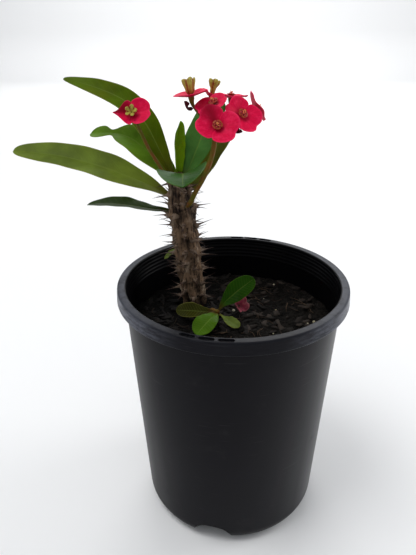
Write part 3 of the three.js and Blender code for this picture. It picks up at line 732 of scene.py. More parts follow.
def pot_profile():
    """The pot's section, from the middle of its underside, up the outside and down the inside."""
    pot = settings("pot")
    rim, height, wall, corner = mm(pot.rim_radius), mm(pot.height), mm(pot.wall), mm(pot.corner)
    base, top = mm(pot.base_radius), mm(pot.top_radius)
    foot, lip = height - mm(pot.skirt), height - 1.8
    inner = rim - mm(pot.rim_width)
    flare, rounding = 0.6, 1.5
    corner_at = (base - corner, corner)
    points = [(0, 1.0), (FLOOR_RADIUS, 1.0), (42, 0.9), (44, 0.1), (46, 0)]
    points += arc(corner_at, corner, -90, 0, 14)
    points += [(mix(base, top, k / 9), mix(corner, foot, k / 9)) for k in range(1, 9)]
    points += [(top, foot - 0.4), (top, foot), (top + 0.2, foot + 3), (top + 0.3, lip - 0.6)]
    points += arc((top + 0.9, lip - 0.6), 0.6, 180, 90, 3)[1:]
    points += arc((rim - wall - 0.8, lip - 0.8), 0.8, 90, 0, 3)
    points += [(rim + flare * 0.5 - wall, mix(lip, foot, 0.5))]
    points += arc((rim + flare - wall / 2, foot + wall / 2), wall / 2, 180, 360, 8)
    points += [(rim + flare * 0.85, foot + 2.5), (rim + flare * 0.4, foot + 6), (rim + 0.1, height - 3)]
    points += arc((rim - rounding, height - rounding), rounding, 4, 90, 6)
    points += [(rim - 3, height + 0.02), (inner + 2.6, height + 0.02)]
    points += arc((inner + 1.4, height - 1.4), 1.4, 90, 180, 6)
    for k in range(pot.ribs):
        z = height - FIRST_RIB_DROP - k * RIB_PITCH
        steps = ((0, 0.8), (0.35, 0.35), (0.45, 0), (0.35, -0.35), (0, -0.8))
        points += [(wall_radius(z) - depth, z + rise) for depth, rise in steps]
    points += [(wall_radius(z), z) for z in (205, 190, 150, 110, 70, 35)]
    points += arc(corner_at, corner - wall, 0, -90, 10)
    return points + [(FLOOR_RADIUS, wall + 0.01), (0, wall + 0.01)]


def cutter(place_at):
    """A finely divided block bent by place_at(x, y, z), each from -1 to 1, for one cut-out."""
    bm = new_mesh()
    bmesh.ops.create_cube(bm, size=2)
    bmesh.ops.subdivide_edges(bm, edges=bm.edges, cuts=11, use_grid_fill=True)
    for vert in bm.verts:
        vert.co = place_at(*vert.co)
    return finish_piece("cutter", bm, [], repair=False)


def slot_place(degrees):
    """A label slot: a short arc through the rim, with round ends."""
    pot = settings("pot")
    middle, level = mm(pot.rim_radius) - SLOT_INSET, mm(pot.height) - 1

    def place(x, y, z):
        half_width = SLOT_HALF_WIDTH * (1 - abs(x) ** 6) ** 0.5 + 0.02
        angle = math.radians(degrees - 90 + SLOT_HALF_ARC * x)
        return Vector((*around(middle - half_width * y, angle), level + 2.6 * z))

    return place


def drain_place(degrees):
    """A drain cut-out: a low arch through the bottom corner."""
    turn = Matrix.Rotation(math.radians(degrees), 3, "Z")

    def place(x, y, z):
        height = mix(-2, DRAIN_HEIGHT * (1 - abs(x) ** 2.8) ** 0.6, (z + 1) / 2)
        return turn @ Vector((DRAIN_HALF_WIDTH * x, DRAIN_HALF_DEPTH * y - DRAIN_MIDDLE, height))

    return place


class EUPHORBIA_OT_pot(bpy.types.Operator):
    """Builds the nursery pot with its rim, label slots, ribs and drain cut-outs"""

    bl_idname = "euphorbia.pot"
    bl_label = "Pot"

    def execute(self, context):
        bm = new_mesh()
        turned(bm, pot_profile(), 144)
        piece = finish_piece("nursery_pot", bm, ["pot_plastic"], "pot_plastic", ["pot"])
        places = [slot_place(FRONT_AT + side + step * SLOT_PITCH) for side in (0, 180) for step in (-1, 0, 1)]
        places += [drain_place(FRONT_AT + 360 / DRAINS * k) for k in range(DRAINS)]
        cutters = [cutter(place) for place in places]
        for tool in cutters:
            add_modifier(piece, "BOOLEAN", operation="DIFFERENCE", solver="EXACT", object=tool)
        bake_modifiers(piece)
        for tool in cutters:
            bpy.data.objects.remove(tool)
        bm = bmesh.new()
        bm.from_mesh(piece.data)
        for edge in bm.edges:
            if len(edge.link_faces) == 2 and edge.calc_face_angle(0) > math.radians(40):
                edge.smooth = False
        bm.to_mesh(piece.data)
        bm.free()
        return {"FINISHED"}


# ---------------------------------------------------------------- the potting mix

# Heights and radii of the mix's side under its surface; None follows the pot's wall.
SOIL_RINGS = ((185, None), (120, None), (30, None), (22, 78.0), (16, 60.0), (14, 58.0))
SOIL_GAP = 0.6


def soil_surface(x, y):
    """The height of the mix with its waves, lumps and crumbs."""
    long = math.sin(x * 0.06 + 1.1) * math.cos(y * 0.05)
    short = math.sin(x * 0.19 + y * 0.11) * math.sin(y * 0.23 + 0.7)
    height = mm(settings("soil").level) + 1.3 * (long + 0.6 * short)
    for size, seed, rise in ((0.11, 3.1, 2.2), (0.33, 7.7, 1.1), (0.9, 1.3, 0.45)):
        height += noise.noise(Vector((x * size, y * size, seed))) * rise
    return height


def build_soil():
    edge = wall_radius(mm(settings("soil").level)) - 0.4
    bm = new_mesh()
    for vert, u, v in grid(bm, 150, 150):
        v = 2 * v - 1
        x, y = edge * (u * math.sqrt(1 - v * v / 2)), edge * (v * math.sqrt(1 - u * u / 2))
        vert.co = (x, y, soil_surface(x, y))
    rim = [e for e in bm.edges if e.is_boundary]
    for z, radius in SOIL_RINGS:
        reach = (radius or wall_radius(z)) - SOIL_GAP
        made = bmesh.ops.extrude_edge_only(bm, edges=rim)["geom"]
        rim = [item for item in made if isinstance(item, bmesh.types.BMEdge)]
        for vert in {vert for e in rim for vert in e.verts}:
            flat = Vector((vert.co.x, vert.co.y, 0)).normalized() * reach
            vert.co = (flat.x, flat.y, z)
    bmesh.ops.holes_fill(bm, edges=rim, sides=0)
    finish_piece("potting_mix", bm, ["potting_mix"], "potting_mix", ["soil"])


def scatter_spot(rng, reach=86):
    """A spot on the mix, clear of the pot's wall and the stem's foot."""
    foot_x, foot_y, _ = STEM_ROUTE[1]
    while True:
        x, y = around(math.sqrt(rng.random()) * reach, rng.random() * TURN)
        if math.hypot(x - foot_x, y - foot_y) > 11:
            return x, y


def laid_on_soil(rng, x, y, tilt):
    """The turn and place that lay a sliver on the mix, at a random heading."""
    turn = Matrix.Rotation(rng.random() * TURN, 4, "Z")
    tip = Matrix.Rotation(rng.uniform(-tilt, tilt), 4, "X") @ Matrix.Rotation(rng.uniform(-tilt, tilt), 4, "Y")
    return Matrix.Translation((x, y, soil_surface(x, y))) @ turn @ tip


def bark_sliver(bm, rng):
    """A chipped flat sliver. Its tone comes from the same draw as its bend."""
    x, y = scatter_spot(rng)
    size = Vector((rng.uniform(2.5, 8), rng.uniform(1.1, 3.2), rng.uniform(0.4, 1.1)))
    shade = rng.random() ** 2
    place, rough = laid_on_soil(rng, x, y, 0.3), rng.random() * 9

    def skin(turn, v):
        side, up, along = math.cos(turn), math.sin(turn), 2 * v - 1
        broad = 1 - 0.5 * abs(along) ** 3 + 0.25 * math.sin(along * 4 + rough)
        square = 1 / max(abs(side), abs(up)) ** 0.6
        chipped = 1 + 0.18 * math.sin(turn * 2 + along * 5 + rough)
        bend = 0.03 * size.x**2 * along**2 * (shade - 0.4)
        across = size.y * broad * side * square * chipped
        return place @ Vector((size.x * along, across, size.z * up * square + bend))

    paint(bm, "tone", wrapped(bm, 8, 3, skin), shade)


def fibre(bm, rng):
    """A thin bent fibre, left out where it would reach the pot's wall."""
    x, y = scatter_spot(rng, 84)
    reach, heading, bend = rng.uniform(5, 19), rng.random() * TURN, rng.uniform(-0.5, 0.5)
    points = []
    for step in (-0.5, -0.17, 0.17, 0.5):
        dx, dy = around(reach * step, heading + bend * step * 2)
        points.append((x + dx, y + dy, soil_surface(x + dx, y + dy) + rng.uniform(0.0, 1.1)))
    if max(math.hypot(px, py) for px, py, _ in points) > 88:
        return
    radius, shade = rng.uniform(0.22, 0.6), rng.random()
    paint(bm, "tone", tube(bm, points, lambda t, _: radius * (1 - 0.6 * t * t), 5, 6), shade)


def pale_grain(bm, rng):
    x, y = scatter_spot(rng, 80)
    radius, shade = rng.uniform(0.7, 1.5), rng.random()
    place = Matrix.Translation((x, y, soil_surface(x, y) + radius * 0.5)) @ Matrix.Diagonal((1, 1, 0.8, 1))
    made = bmesh.ops.create_icosphere(bm, subdivisions=2, radius=radius, matrix=place)
    paint(bm, "tone", made["verts"], shade)


class EUPHORBIA_OT_soil(bpy.types.Operator):
    """Builds the potting mix with the bark, fibres and grains on it"""

    bl_idname = "euphorbia.soil"
    bl_label = "Potting mix"

    def execute(self, context):
        build_soil()
        ground, rng = settings("soil"), random.Random(7)
        for name, finish, add_one, amount in (
            ("bark_slivers", "bark_chip", bark_sliver, ground.chips),
            ("fibres", "fibre", fibre, ground.fibres),
            ("pale_grains", "speck", pale_grain, ground.specks),
        ):
            bm = new_mesh("tone")
            for _ in range(amount):
                add_one(bm, rng)
            finish_piece(name, bm, [finish], "potting_mix")
        return {"FINISHED"}


# ---------------------------------------------------------------- the thorny stem

STEM_ROUTE = [
    (-35, 30, 150), (-36, 30, 190), (-37, 29, 207), (-39, 28, 224), (-40, 28, 240),
    (-43, 27, 262), (-45, 26, 283), (-47, 26, 302), (-48, 26, 320),
]
THORN_CLUSTERS, CROWN_SPINES = 34, 26
GOLDEN_ANGLE = 137.5


def stem_radius(t, turn):
    """The stem's radius at a share of its length, before its bark."""
    buried = smoothstep(t, 0.16, 0.26)
    bulges = 1 + 0.09 * hill(t, 0.8, 0.055) + 0.04 * math.sin(t * 57 + 1)
    ridge = 1 + 0.07 * math.sin(5 * turn + t * 9)
    taper = mix(1, 0.82, smoothstep(t, 0.84, 0.9))
    crown = math.sqrt(max(0.0, 1 - max(0, (t - 0.94) / 0.0605) ** 2))
    return mix(9.5, mm(settings("stem").radius) * bulges * ridge * taper * crown, buried)


def thorn_nodes():
    """Where thorns stand: (share of the stem, turn, tilt, length share), in pairs on a spiral."""
    rng = random.Random(41)
    nodes = []
    for k in range(THORN_CLUSTERS):
        t = mix(0.27, 0.965, (k + 0.5) / THORN_CLUSTERS)
        for side in (-1, 1):
            apart = side * math.radians(26) * rng.uniform(0.7, 1.1)
            turn = k * math.radians(GOLDEN_ANGLE) + 0.4 + apart
            nodes.append((t, turn, rng.uniform(-0.25, 0.35), rng.uniform(0.62, 1.05)))
    return nodes


def bark_relief(nodes, route, t, turn):
    """The bark's own relief in mm: bosses under the thorns, long ridges and short cracks."""
    along = t * route.length
    boss = 0.0
    for at, facing, _, _ in nodes:
        rise = (t - at) * route.length
        if abs(rise) < 8:
            girth = math.remainder(turn - facing, TURN) * STEM_RADIUS
            boss += 1.5 * math.exp(-((rise / 3.4) ** 2) - (girth / 2.9) ** 2)
    x, y = around(STEM_RADIUS, turn)
    long_ridges = noise.noise(Vector((x * 0.42, y * 0.42, along * 0.06)))
    wrinkles = 1 - abs(noise.noise(Vector((x * 0.25, y * 0.25, along * 0.34 + 9)))) * 2
    fine = noise.noise(Vector((x * 1.1, y * 1.1, along * 0.35)))
    return boss + (0.85 * long_ridges + 0.5 * (wrinkles - 0.6) + 0.35 * fine)


def thorn(bm, foot, aim, reach, wide, bend):
    """One thorn on a broad flared foot, bent a little towards its point."""
    sideways = aim.orthogonal().normalized()
    points = [foot - aim * 1.2, foot + aim * reach * 0.3]
    points += [foot + aim * reach * 0.7 + sideways * bend * 0.4, foot + aim * reach + sideways * bend]

    def radius(t, turn):
        flare = wide * math.exp(-t * 6.5)
        return (flare + 0.3 * wide**0.5 * (1 - t) ** 0.8) * (1 + 0.14 * math.cos(2 * turn)) + 0.03

    tube(bm, points, radius, 8, 9)


def build_thorns(route, nodes):
    """A long thorn and some strays at each node, and fine spines round the crown."""
    bm, rng = new_mesh(), random.Random(12)
    longest = mm(settings("stem").thorn)
    for t, turn, tilt, share in nodes:
        out, along = route.outwards(t, turn), route.along(t)
        aim = (out + along * tilt).normalized()
        foot = route.at(t) + out * (stem_radius(t, turn) + 0.6)
        thorn(bm, foot, aim, longest * share, 2.9, rng.uniform(-1.4, 1.4))
        for _ in range(rng.choice((1, 2, 2, 3))):
            stray = along * rng.uniform(-2.6, 2.6) + out.cross(along) * rng.uniform(-2.2, 2.2)
            lean = (aim + stray * 0.2 + along * rng.uniform(-0.3, 0.4)).normalized()
            reach = longest * rng.uniform(0.3, 0.85)
            thorn(bm, foot + stray, lean, reach, 1.5, rng.uniform(-1.2, 1.2))
    for _ in range(CROWN_SPINES):
        t, turn = rng.uniform(0.84, 0.95), rng.uniform(-1.3, 0.5)
        out = route.outwards(t, turn)
        aim = (out + route.along(t) * rng.uniform(-0.6, 0.5)).normalized()
        foot = route.at(t) + out * stem_radius(t, turn)
        thorn(bm, foot, aim, rng.uniform(4, 9), 0.35, rng.uniform(-1.5, 1.5))
    finish_piece("thorns", bm, ["thorn"], "bark")


class EUPHORBIA_OT_stem(bpy.types.Operator):
    """Builds the thick bark-covered stem and its thorns"""

    bl_idname = "euphorbia.stem"
    bl_label = "Thorny stem"

    def execute(self, context):
        route, nodes = Route(STEM_ROUTE), thorn_nodes()
        bm = new_mesh("relief")

        def radius(t, turn):
            fade = smoothstep(t, 0.1, 0.2) * (1 - smoothstep(t, 0.97, 1.0))
            return stem_radius(t, turn) + bark_relief(nodes, route, t, turn) * fade

        def level(vert):
            """How far a place stands out of the plain stem, as a share round 0.5."""
            nearest = int(np.linalg.norm(route.table - np.array(vert.co), axis=1).argmin())
            t = float(route.share[nearest])
            out = (Vector(vert.co) - route.at(t)).length - stem_radius(t, 0)
            return min(1.0, max(0.0, 0.5 + out * 0.28))

        paint(bm, "relief", tube(bm, route, radius, 84, 300), level)
        finish_piece("thorny_stem", bm, ["bark"], "bark", ["stem"])
        build_thorns(route, nodes)
        return {"FINISHED"}


# ---------------------------------------------------------------- leaves

# Each leaf has a route for its midrib and the facings of its upper side along it. half is half its
# greatest width, which it has at widest; taper and waist slim it towards the tip. veins, aged and
# midrib are strengths in its finish.
LEAVES = {
    "leaf_arching_left": dict(
        route=[(-49, 26, 308), (-56, 28, 323), (-65, 32, 341), (-74.5, 36, 358.5), (-90, 42, 374.3),
               (-115, 50, 384.3), (-146.5, 60, 391)],
        faces=[(0.5, -0.7, 0.5), (0.35, -0.75, 0.55), (0.1, -0.75, 0.65), (-0.1, -0.6, 0.8)],
        half=11.5, widest=0.45, blunt=2.6, taper=0.34, finish="leaf_green", tint=(1.05, 0.82, 0.3),
        veins=0.1,
    ),
    "leaf_long_left": dict(
        route=[(-47, 26, 295), (-57, 25, 300), (-71, 25, 308), (-91, 26, 316), (-111, 28, 323),
               (-147, 33, 331), (-192, 40, 334.3)],
        faces=[(0.3, -0.3, 0.9), (0.05, -0.5, 0.85), (0, -0.55, 0.83), (0, -0.5, 0.85)],
        half=15.2, widest=0.46, blunt=8, taper=0.38, finish="leaf_olive", tint=(1.0, 1.02, 0.66),
        veins=0.06, aged=0.05, midrib=0.3,
    ),
    "leaf_low_left": dict(
        route=[(-46, 26, 284), (-59, 28, 285), (-74, 32, 285), (-90, 36, 286), (-114, 42, 286),
               (-134, 47, 283)],
        faces=[(0, -0.2, 1), (0, -0.1, 1), (0, -0.05, 1)],
        half=11, foot=2.4, finish="leaf_dark", tint=(0.66, 0.5, 0.16), veins=0.1, aged=0.1,
    ),
    "leaf_twisted_back": dict(
        route=[(-46, 27, 303), (-56, 34, 318), (-73, 42, 332), (-89, 50, 342), (-102, 56, 345.5),
               (-130, 70, 343)],
        faces=[(0.3, -0.6, 0.75), (0.1, -0.7, 0.7), (0.05, -0.6, 0.75), (0, -0.5, 0.85), (0, -0.5, 0.85)],
        half=14, widest=0.5, waist=(0.78, 0.7), blunt=8, taper=0.35, finish="leaf_green",
        tint=(1.45, 1.35, 2.0), veins=0.12, aged=0.1,
    ),
    "leaf_upright_young": dict(
        route=[(-47.5, 27, 312), (-48.7, 29, 331), (-49, 31, 346), (-44.7, 33, 361)],
        faces=[(0.75, -0.6, 0), (0.75, -0.6, 0)],
        half=8.2, fold=38, widest=0.5, finish="leaf_young", tint=(3.3, 2.7, 1.2), veins=0.35,
    ),
    "leaf_broad_right": dict(
        route=[(-45, 27, 309), (-39, 30, 321), (-32, 35, 337), (-26, 41, 351), (-19, 48, 365),
               (-10, 55, 373)],
        faces=[(-0.3, -0.85, 0.4), (-0.2, -0.92, 0.35), (-0.1, -0.95, 0.3)],
        half=13, widest=0.52, finish="leaf_dark", tint=(2.2, 2.3, 1.8), veins=0.08, aged=0.1,
    ),
    "leaf_behind_right": dict(
        route=[(-45, 27, 296), (-35.5, 33, 307), (-25, 42, 323), (-15, 50, 337), (-6.5, 56, 347),
               (1, 60, 354)],
        faces=[(-0.4, -0.8, 0.4), (-0.35, -0.85, 0.35), (-0.3, -0.9, 0.3)],
        half=10, widest=0.5, finish="leaf_olive", tint=(1.35, 1.0, 0.7), veins=0.1,
    ),
    "leaf_front": dict(
        route=[(-45, 24, 308), (-43, 11, 319), (-40, -5, 327), (-38.5, -25, 332), (-37, -43, 334),
               (-35.5, -57.5, 332.5)],
        faces=[(-0.1, 0.3, 1), (-0.12, 0, 1), (-0.12, -0.1, 1)],
        half=20, fold=18, widest=0.56, blunt=2.8, foot=1.2, finish="leaf_dark",
        tint=(0.48, 0.78, 0.15), veins=0.1, aged=0.1,
    ),
    "leaf_small_back": dict(
        route=[(-41, 28, 238), (-51, 40, 238), (-58, 47, 235), (-66, 52, 228)],
        faces=[(0, -0.3, 1), (-0.2, -0.5, 0.9)],
        half=4.5, finish="leaf_olive",
    ),
}

SHOOT_ROUTE = [(-23, 17, 176), (-22, 15, 190), (-18, 8, 196), (-13, 0, 199)]

SHOOT_LEAVES = {
    "shoot_leaf_left": dict(
        route=[(-15, -1, 200), (-24, -3, 201), (-34, -4, 202), (-50, -3, 202)],
        faces=[(0, -0.5, 0.85), (0, -0.6, 0.8)],
        half=7.5, base=0.9, finish="leaf_olive", tint=(0.2, 0.15, 0.06), veins=0.3,
    ),
    "shoot_leaf_up": dict(
        route=[(-12, 0, 201), (-8, 1, 207), (3, 4, 217), (19, 10, 228)],
        faces=[(-0.3, -0.75, 0.6), (-0.35, -0.75, 0.6)],
        half=10, base=0.9, finish="leaf_young", tint=(0.26, 0.44, 0.08), veins=0.2, aged=0.2,
    ),
    "shoot_leaf_front": dict(
        route=[(-13.7, -2.2, 199), (-16, -10, 201), (-22, -21, 200), (-30, -34, 196)],
        faces=[(0, -0.3, 0.95), (0, -0.35, 0.95)],
        half=10, base=0.9, finish="leaf_young", tint=(0.92, 0.86, 0.8), veins=0.2,
    ),
    "shoot_leaf_small": dict(
        route=[(-11.6, -2, 198.4), (-6, -10, 199), (-1, -17, 199), (6, -24, 198)],
        faces=[(0, -0.3, 1), (0.1, -0.4, 0.9)],
        half=5.5, foot=3, widest=0.72, base=0.9, finish="leaf_olive",
    ),
}

ALL_LEAVES = {**LEAVES, **SHOOT_LEAVES}


def blade_width(share, leaf):
    """Half the width of a blade: a narrow foot, then its widest place, then a rounded tip."""
    widest = leaf.get("widest", 0.62)
    if share < widest:
        rise = math.sin((math.pi / 2) * (share / widest)) ** leaf.get("foot", 1.5)
        return mix(leaf.get("base", 1.7), leaf["half"], rise)
    past = (share - widest) / (1 - widest)
    waist_at, waist = leaf.get("waist", (0.5, 0.0))
    slim = (1 - leaf.get("taper", 0.0) * past) * (1 - waist * hill(share, waist_at, 0.075))
    return leaf["half"] * slim * math.sqrt(max(0.0, 1 - (past * 0.998) ** leaf.get("blunt", 2.4)))


def blade(bm, leaf, columns, rows, thickness):
    """A blade's middle surface. Gives each vertex with its share of the full thickness."""
    route, faces = Route(leaf["route"]), Route(leaf["faces"])
    fold, soft = math.radians(leaf.get("fold", 14)), 0.1414
    weights = []
    for vert, u, v in grid(bm, columns, rows):
        share = 1 - (1 - v) ** 1.35
        along = route.along(share)
        side = along.cross(faces.by_pace(share)).normalized()
        up = side.cross(along)
        half = blade_width(share, leaf)
        wing = (math.sqrt(u * u + 0.02) - soft) / (math.sqrt(1.02) - soft)
        wave = 0.8 * u * u * math.sin(share * 11 + (0.4 if u > 0 else 2.1)) * math.sin(math.pi * share)
        ripple = 0.35 * math.sin(share * 31 + u * 2) * u * u * math.sin(math.pi * share)
        full = mix(0.28, 1.0, (1 - abs(u)) ** 1.5 * (1 - share) ** 2.0)
        full = max(full * (1 - 0.35 * abs(u) ** 6), 0.34 * (1 - share) * hill(u, 0, 0.16))
        groove = 0.45 * hill(u * half, 0, 1.3) * (1 - share) + thickness * (full - 0.28) * 0.3
        lift = half * wing * math.sin(fold) + wave + ripple - groove
        vert.co = route.at(share) + side * (half * u * math.cos(fold)) + up * lift
        weights.append((vert, full))
    return weights


def build_leaf(name, leaf):
    thickness = mm(settings("leaf").thickness)
    bm = new_mesh()
    weights = blade(bm, leaf, 14, 40, thickness)
    bm.verts.index_update()
    weights = [(vert.index, full) for vert, full in weights]
    piece = finish_piece(name + "_blade", bm, [name], leaf["finish"], [name], repair=False)
    group = piece.vertex_groups.new(name="thickness")
    for index, full in weights:
        group.add([index], min(1.0, full), "REPLACE")
    thicken(piece, thickness * MM, vertex_group="thickness")


class EUPHORBIA_OT_leaves(bpy.types.Operator):
    """Builds the leaves of the main stem"""

    bl_idname = "euphorbia.leaves"
    bl_label = "Leaves"

    def execute(self, context):
        for name, leaf in LEAVES.items():
            build_leaf(name, leaf)
        return {"FINISHED"}


class EUPHORBIA_OT_shoot(bpy.types.Operator):
    """Builds the basal shoot at the foot of the stem"""

    bl_idname = "euphorbia.shoot"
    bl_label = "Basal shoot"

    def execute(self, context):
        for name, leaf in SHOOT_LEAVES.items():
            build_leaf(name, leaf)
        bm = new_mesh()
        tube(bm, SHOOT_ROUTE, lambda t, turn: 1.9 + 0.25 * math.sin(t * 26 + turn), 16, 26)
        finish_piece("shoot_stem_bar", bm, ["stalk"], "stalk", ["shoot_stem"])
        return {"FINISHED"}


# ---------------------------------------------------------------- stalks and blooms

# Each bloom has its foot's place, its facing and its turn about it, and for its right and left
# bracts the lift in degrees, the size and the pinch towards the tip. reach is a bract's length,
# bowl its hollow, slim its width and shade (side, angle, width, darkest) painted shade on part of
# one bract. A cup (waist, mouth, height) is a young tall one; the others are open.
BLOOMS = {
    "single": dict(at=(-79.3, 6, 371.5), facing=(-0.08, -0.8, 0.6), turn=6, lift=(6, 24), reach=15, bowl=4,
                   size=(1.05, 1.08), slim=0.74, pinch=(0, 0.9), cup=(2.2, 3.8, 5),
                   shade=(-1, -0.7, 0.9, 0.9)),
    "front": dict(at=(-12.9, -12.5, 365.4), facing=(0.05, -0.78, 0.62), turn=-22, lift=(12, 14), reach=17,
                  bowl=4.5, shade=(-1, -0.7, 0.6, 0.75)),
    "right": dict(at=(5, 6, 370.5), facing=(0.42, -0.68, 0.6), turn=-30, lift=(8, 8), reach=16.5, bowl=2.5,
                  size=(1, 0.9)),
    "far_right": dict(at=(16.0, 28.6, 371), facing=(0.84, 0.12, 0.48), turn=80, lift=(8, 8), reach=14,
                      size=(1, 1.26)),
    "top": dict(at=(-3.5, 42, 378), facing=(0.05, 0.12, 0.97), turn=5, lift=(6, 8), reach=14.5),
    "left": dict(at=(-15.8, 6.5, 378.5), facing=(-0.36, -0.38, 0.86), turn=22, lift=(8, 10), reach=15.5,
                 size=(0.7, 1)),
    "tall_left": dict(at=(-34, 12, 383.5), facing=(-0.18, 0.03, 1), turn=0, lift=(6, 8), reach=14.5,
                      bowl=2.5, cup=(3.9, 5.3, 11.5)),
    "tall_right": dict(at=(-18.8, 27, 381.5), facing=(0.2, 0.1, 1), turn=10, lift=(30, 42), reach=9,
                       size=(0.85, 1.03), cup=(2.4, 4.6, 11)),
}
FALLEN = dict(at=(6, 11, 199.5), facing=(0.3, -0.4, 0.85), turn=25, lift=(48, 62), reach=10)

FORKS = {"middle": (-15, 12, 355), "left": (-29.5, 15.5, 371.5), "back": (-7, 27, 364), "right": (1, 17, 361)}
SINGLE_STALK = [(-50, 23, 306), (-57, 19, 318), (-63, 16, 330), (-71, 12, 347)]
CLUSTER_STALK = [(-43, 21, 290), (-37, 12, 297), (-31, 10, 309), (-24, 9, 322), (-18, 9, 338), FORKS["middle"]]
BRANCHES = [
    (["middle"], 1.5, "front"),
    (["middle", "left"], 1.6, "tall_left"),
    (["left"], 1.5, "tall_right"),
    (["middle"], 1.5, "left"),
    (["middle", "back"], 1.6, "top"),
    (["middle", "right"], 1.6, "right"),
    (["right"], 1.5, "far_right"),
]
BRACTEOLES = {
    "bracteole_left": dict(
        route=[(-33, 11.3, 375.2), (-35.3, 9.2, 373.7), (-37.3, 7.2, 375.7), (-38.8, 6.2, 380.7)],
        faces=[(0.2, -0.2, 0.9), (0.6, -0.3, 0.7)],
    ),
    "bracteole_right": dict(
        route=[(-2, 9, 360), (0, 7, 358), (3, 6, 357), (6, 6, 358)],
        faces=[(-0.2, -0.2, 0.9), (-0.6, -0.3, 0.7)],
    ),
}
BRACTEOLE_THICKNESS = 0.8
CUP_ROOM = 3.2
GLANDS, STAMENS, STYLES = 5, 7, 3


def bloom_matrix(bloom):
    """Carries a bloom built about +Z to its place and facing."""
    aim = Vector(bloom["facing"]).normalized()
    across = (Vector((1, 0, 0)) - aim * aim.x).normalized()
    turn = Matrix((across, aim.cross(across), aim)).transposed().to_4x4()
    return Matrix.Translation(bloom["at"]) @ turn @ Matrix.Rotation(math.radians(bloom["turn"]), 4, "Z")


def bract(bm, bloom, side):
    """One kidney-shaped bract as a sheet; side is 1 towards the bloom's own +X, or -1."""
    own = 0 if side > 0 else 1
    reach, lift = bloom["reach"], math.radians(bloom["lift"][own])
    own_size, pinch = bloom.get("size", (1, 1))[own], bloom.get("pinch", (0, 0))[own]
    shaded_side, shade_at, shade_width, darkest = bloom.get("shade", (0, 0, 1, 0))
    shade = bm.verts.layers.float["shade"]
    place, spread = bloom_matrix(bloom), math.radians(97)
    overlap = 0.35 if side > 0 else -0.3
    for vert, u, v in grid(bm, 28, 12):
        angle = u * spread
        notch = 1 - 0.12 * hill(angle, 0, 0.22) + 0.06 * hill(abs(angle), 0.8, 0.4)
        rounding = math.sqrt(max(0.0, 1 - (abs(u) * 0.999) ** 7))
        size = mix(1, own_size, math.sqrt(max(0.0, math.cos(angle))))
        radius = mix(1.2, reach * size * notch * mix(0.42, 1.0, rounding), v)
        outward = max(0.0, (radius - CUP_ROOM) / (reach - CUP_ROOM))
        # Painted shade on part of one bract, written to the mesh's shade layer.
        if side == shaded_side:
            vert[shade] = darkest * hill(angle, shade_at, shade_width) * smoothstep(v, 0.05, 0.35)
        x, y = radius * math.cos(angle), bloom.get("slim", 0.86) * radius * math.sin(angle)
        y *= 1 - pinch * smoothstep(x / reach, 0.1, 1.0)
        crease = 0.9 * outward * hill(angle, 0, 0.25)
        ruffle = 0.4 * outward**2 * math.sin(u * 7 + side + reach) + 0.16 * outward**3 * math.sin(u * 19 + reach)
        pucker = 0.35 * outward * noise.noise(Vector((x * 0.22, y * 0.22, reach + side)))
        height = 1.4 * outward - crease + ruffle + pucker - 1.6 * max(0.0, v - 0.8) * outward
        height += bloom.get("bowl", 1.5) * (y / reach) ** 2 + overlap * smoothstep(abs(u), 0.75, 0.95)
        raised = max(0.0, x - CUP_ROOM)
        x -= raised * (1 - math.cos(lift))
        height += raised * math.sin(lift)
        vert.co = place @ Vector((side * x, y * side, height))


def build_bracts(name, bloom, finish, solid):
    bm = new_mesh("shade")
    for side in (1, -1):
        bract(bm, bloom, side)
    piece = finish_piece(name, bm, [finish], finish, [solid], repair=False)
    thicken(piece, settings("bloom").bract_thickness)


def stamen(bm, rng, k):
    """A filament with two anthers, in the cups' second finish."""
    angle, lean = k * TURN / STAMENS + rng.random(), rng.uniform(0.2, 1.5)
    top = Vector((*around(lean, angle), rng.uniform(4.0, 5.8)))
    foot = Vector((top.x * 0.4, top.y * 0.4, 1.8))
    paint(bm, "tone", tube(bm, [foot, (foot + top) / 2, top], lambda t, _: 0.22, 6, 4, 1), 0.1)
    for lean_to in (-0.3, 0.3):
        spot = top + Vector((lean_to * math.sin(angle), -lean_to * math.cos(angle), 0.1))
        place = Matrix.Translation(spot)
        anther = bmesh.ops.create_icosphere(bm, subdivisions=1, radius=0.36, matrix=place)["verts"]
        paint(bm, "tone", anther, 0.7)
        for face in {face for vert in anther for face in vert.link_faces}:
            face.material_index = 1


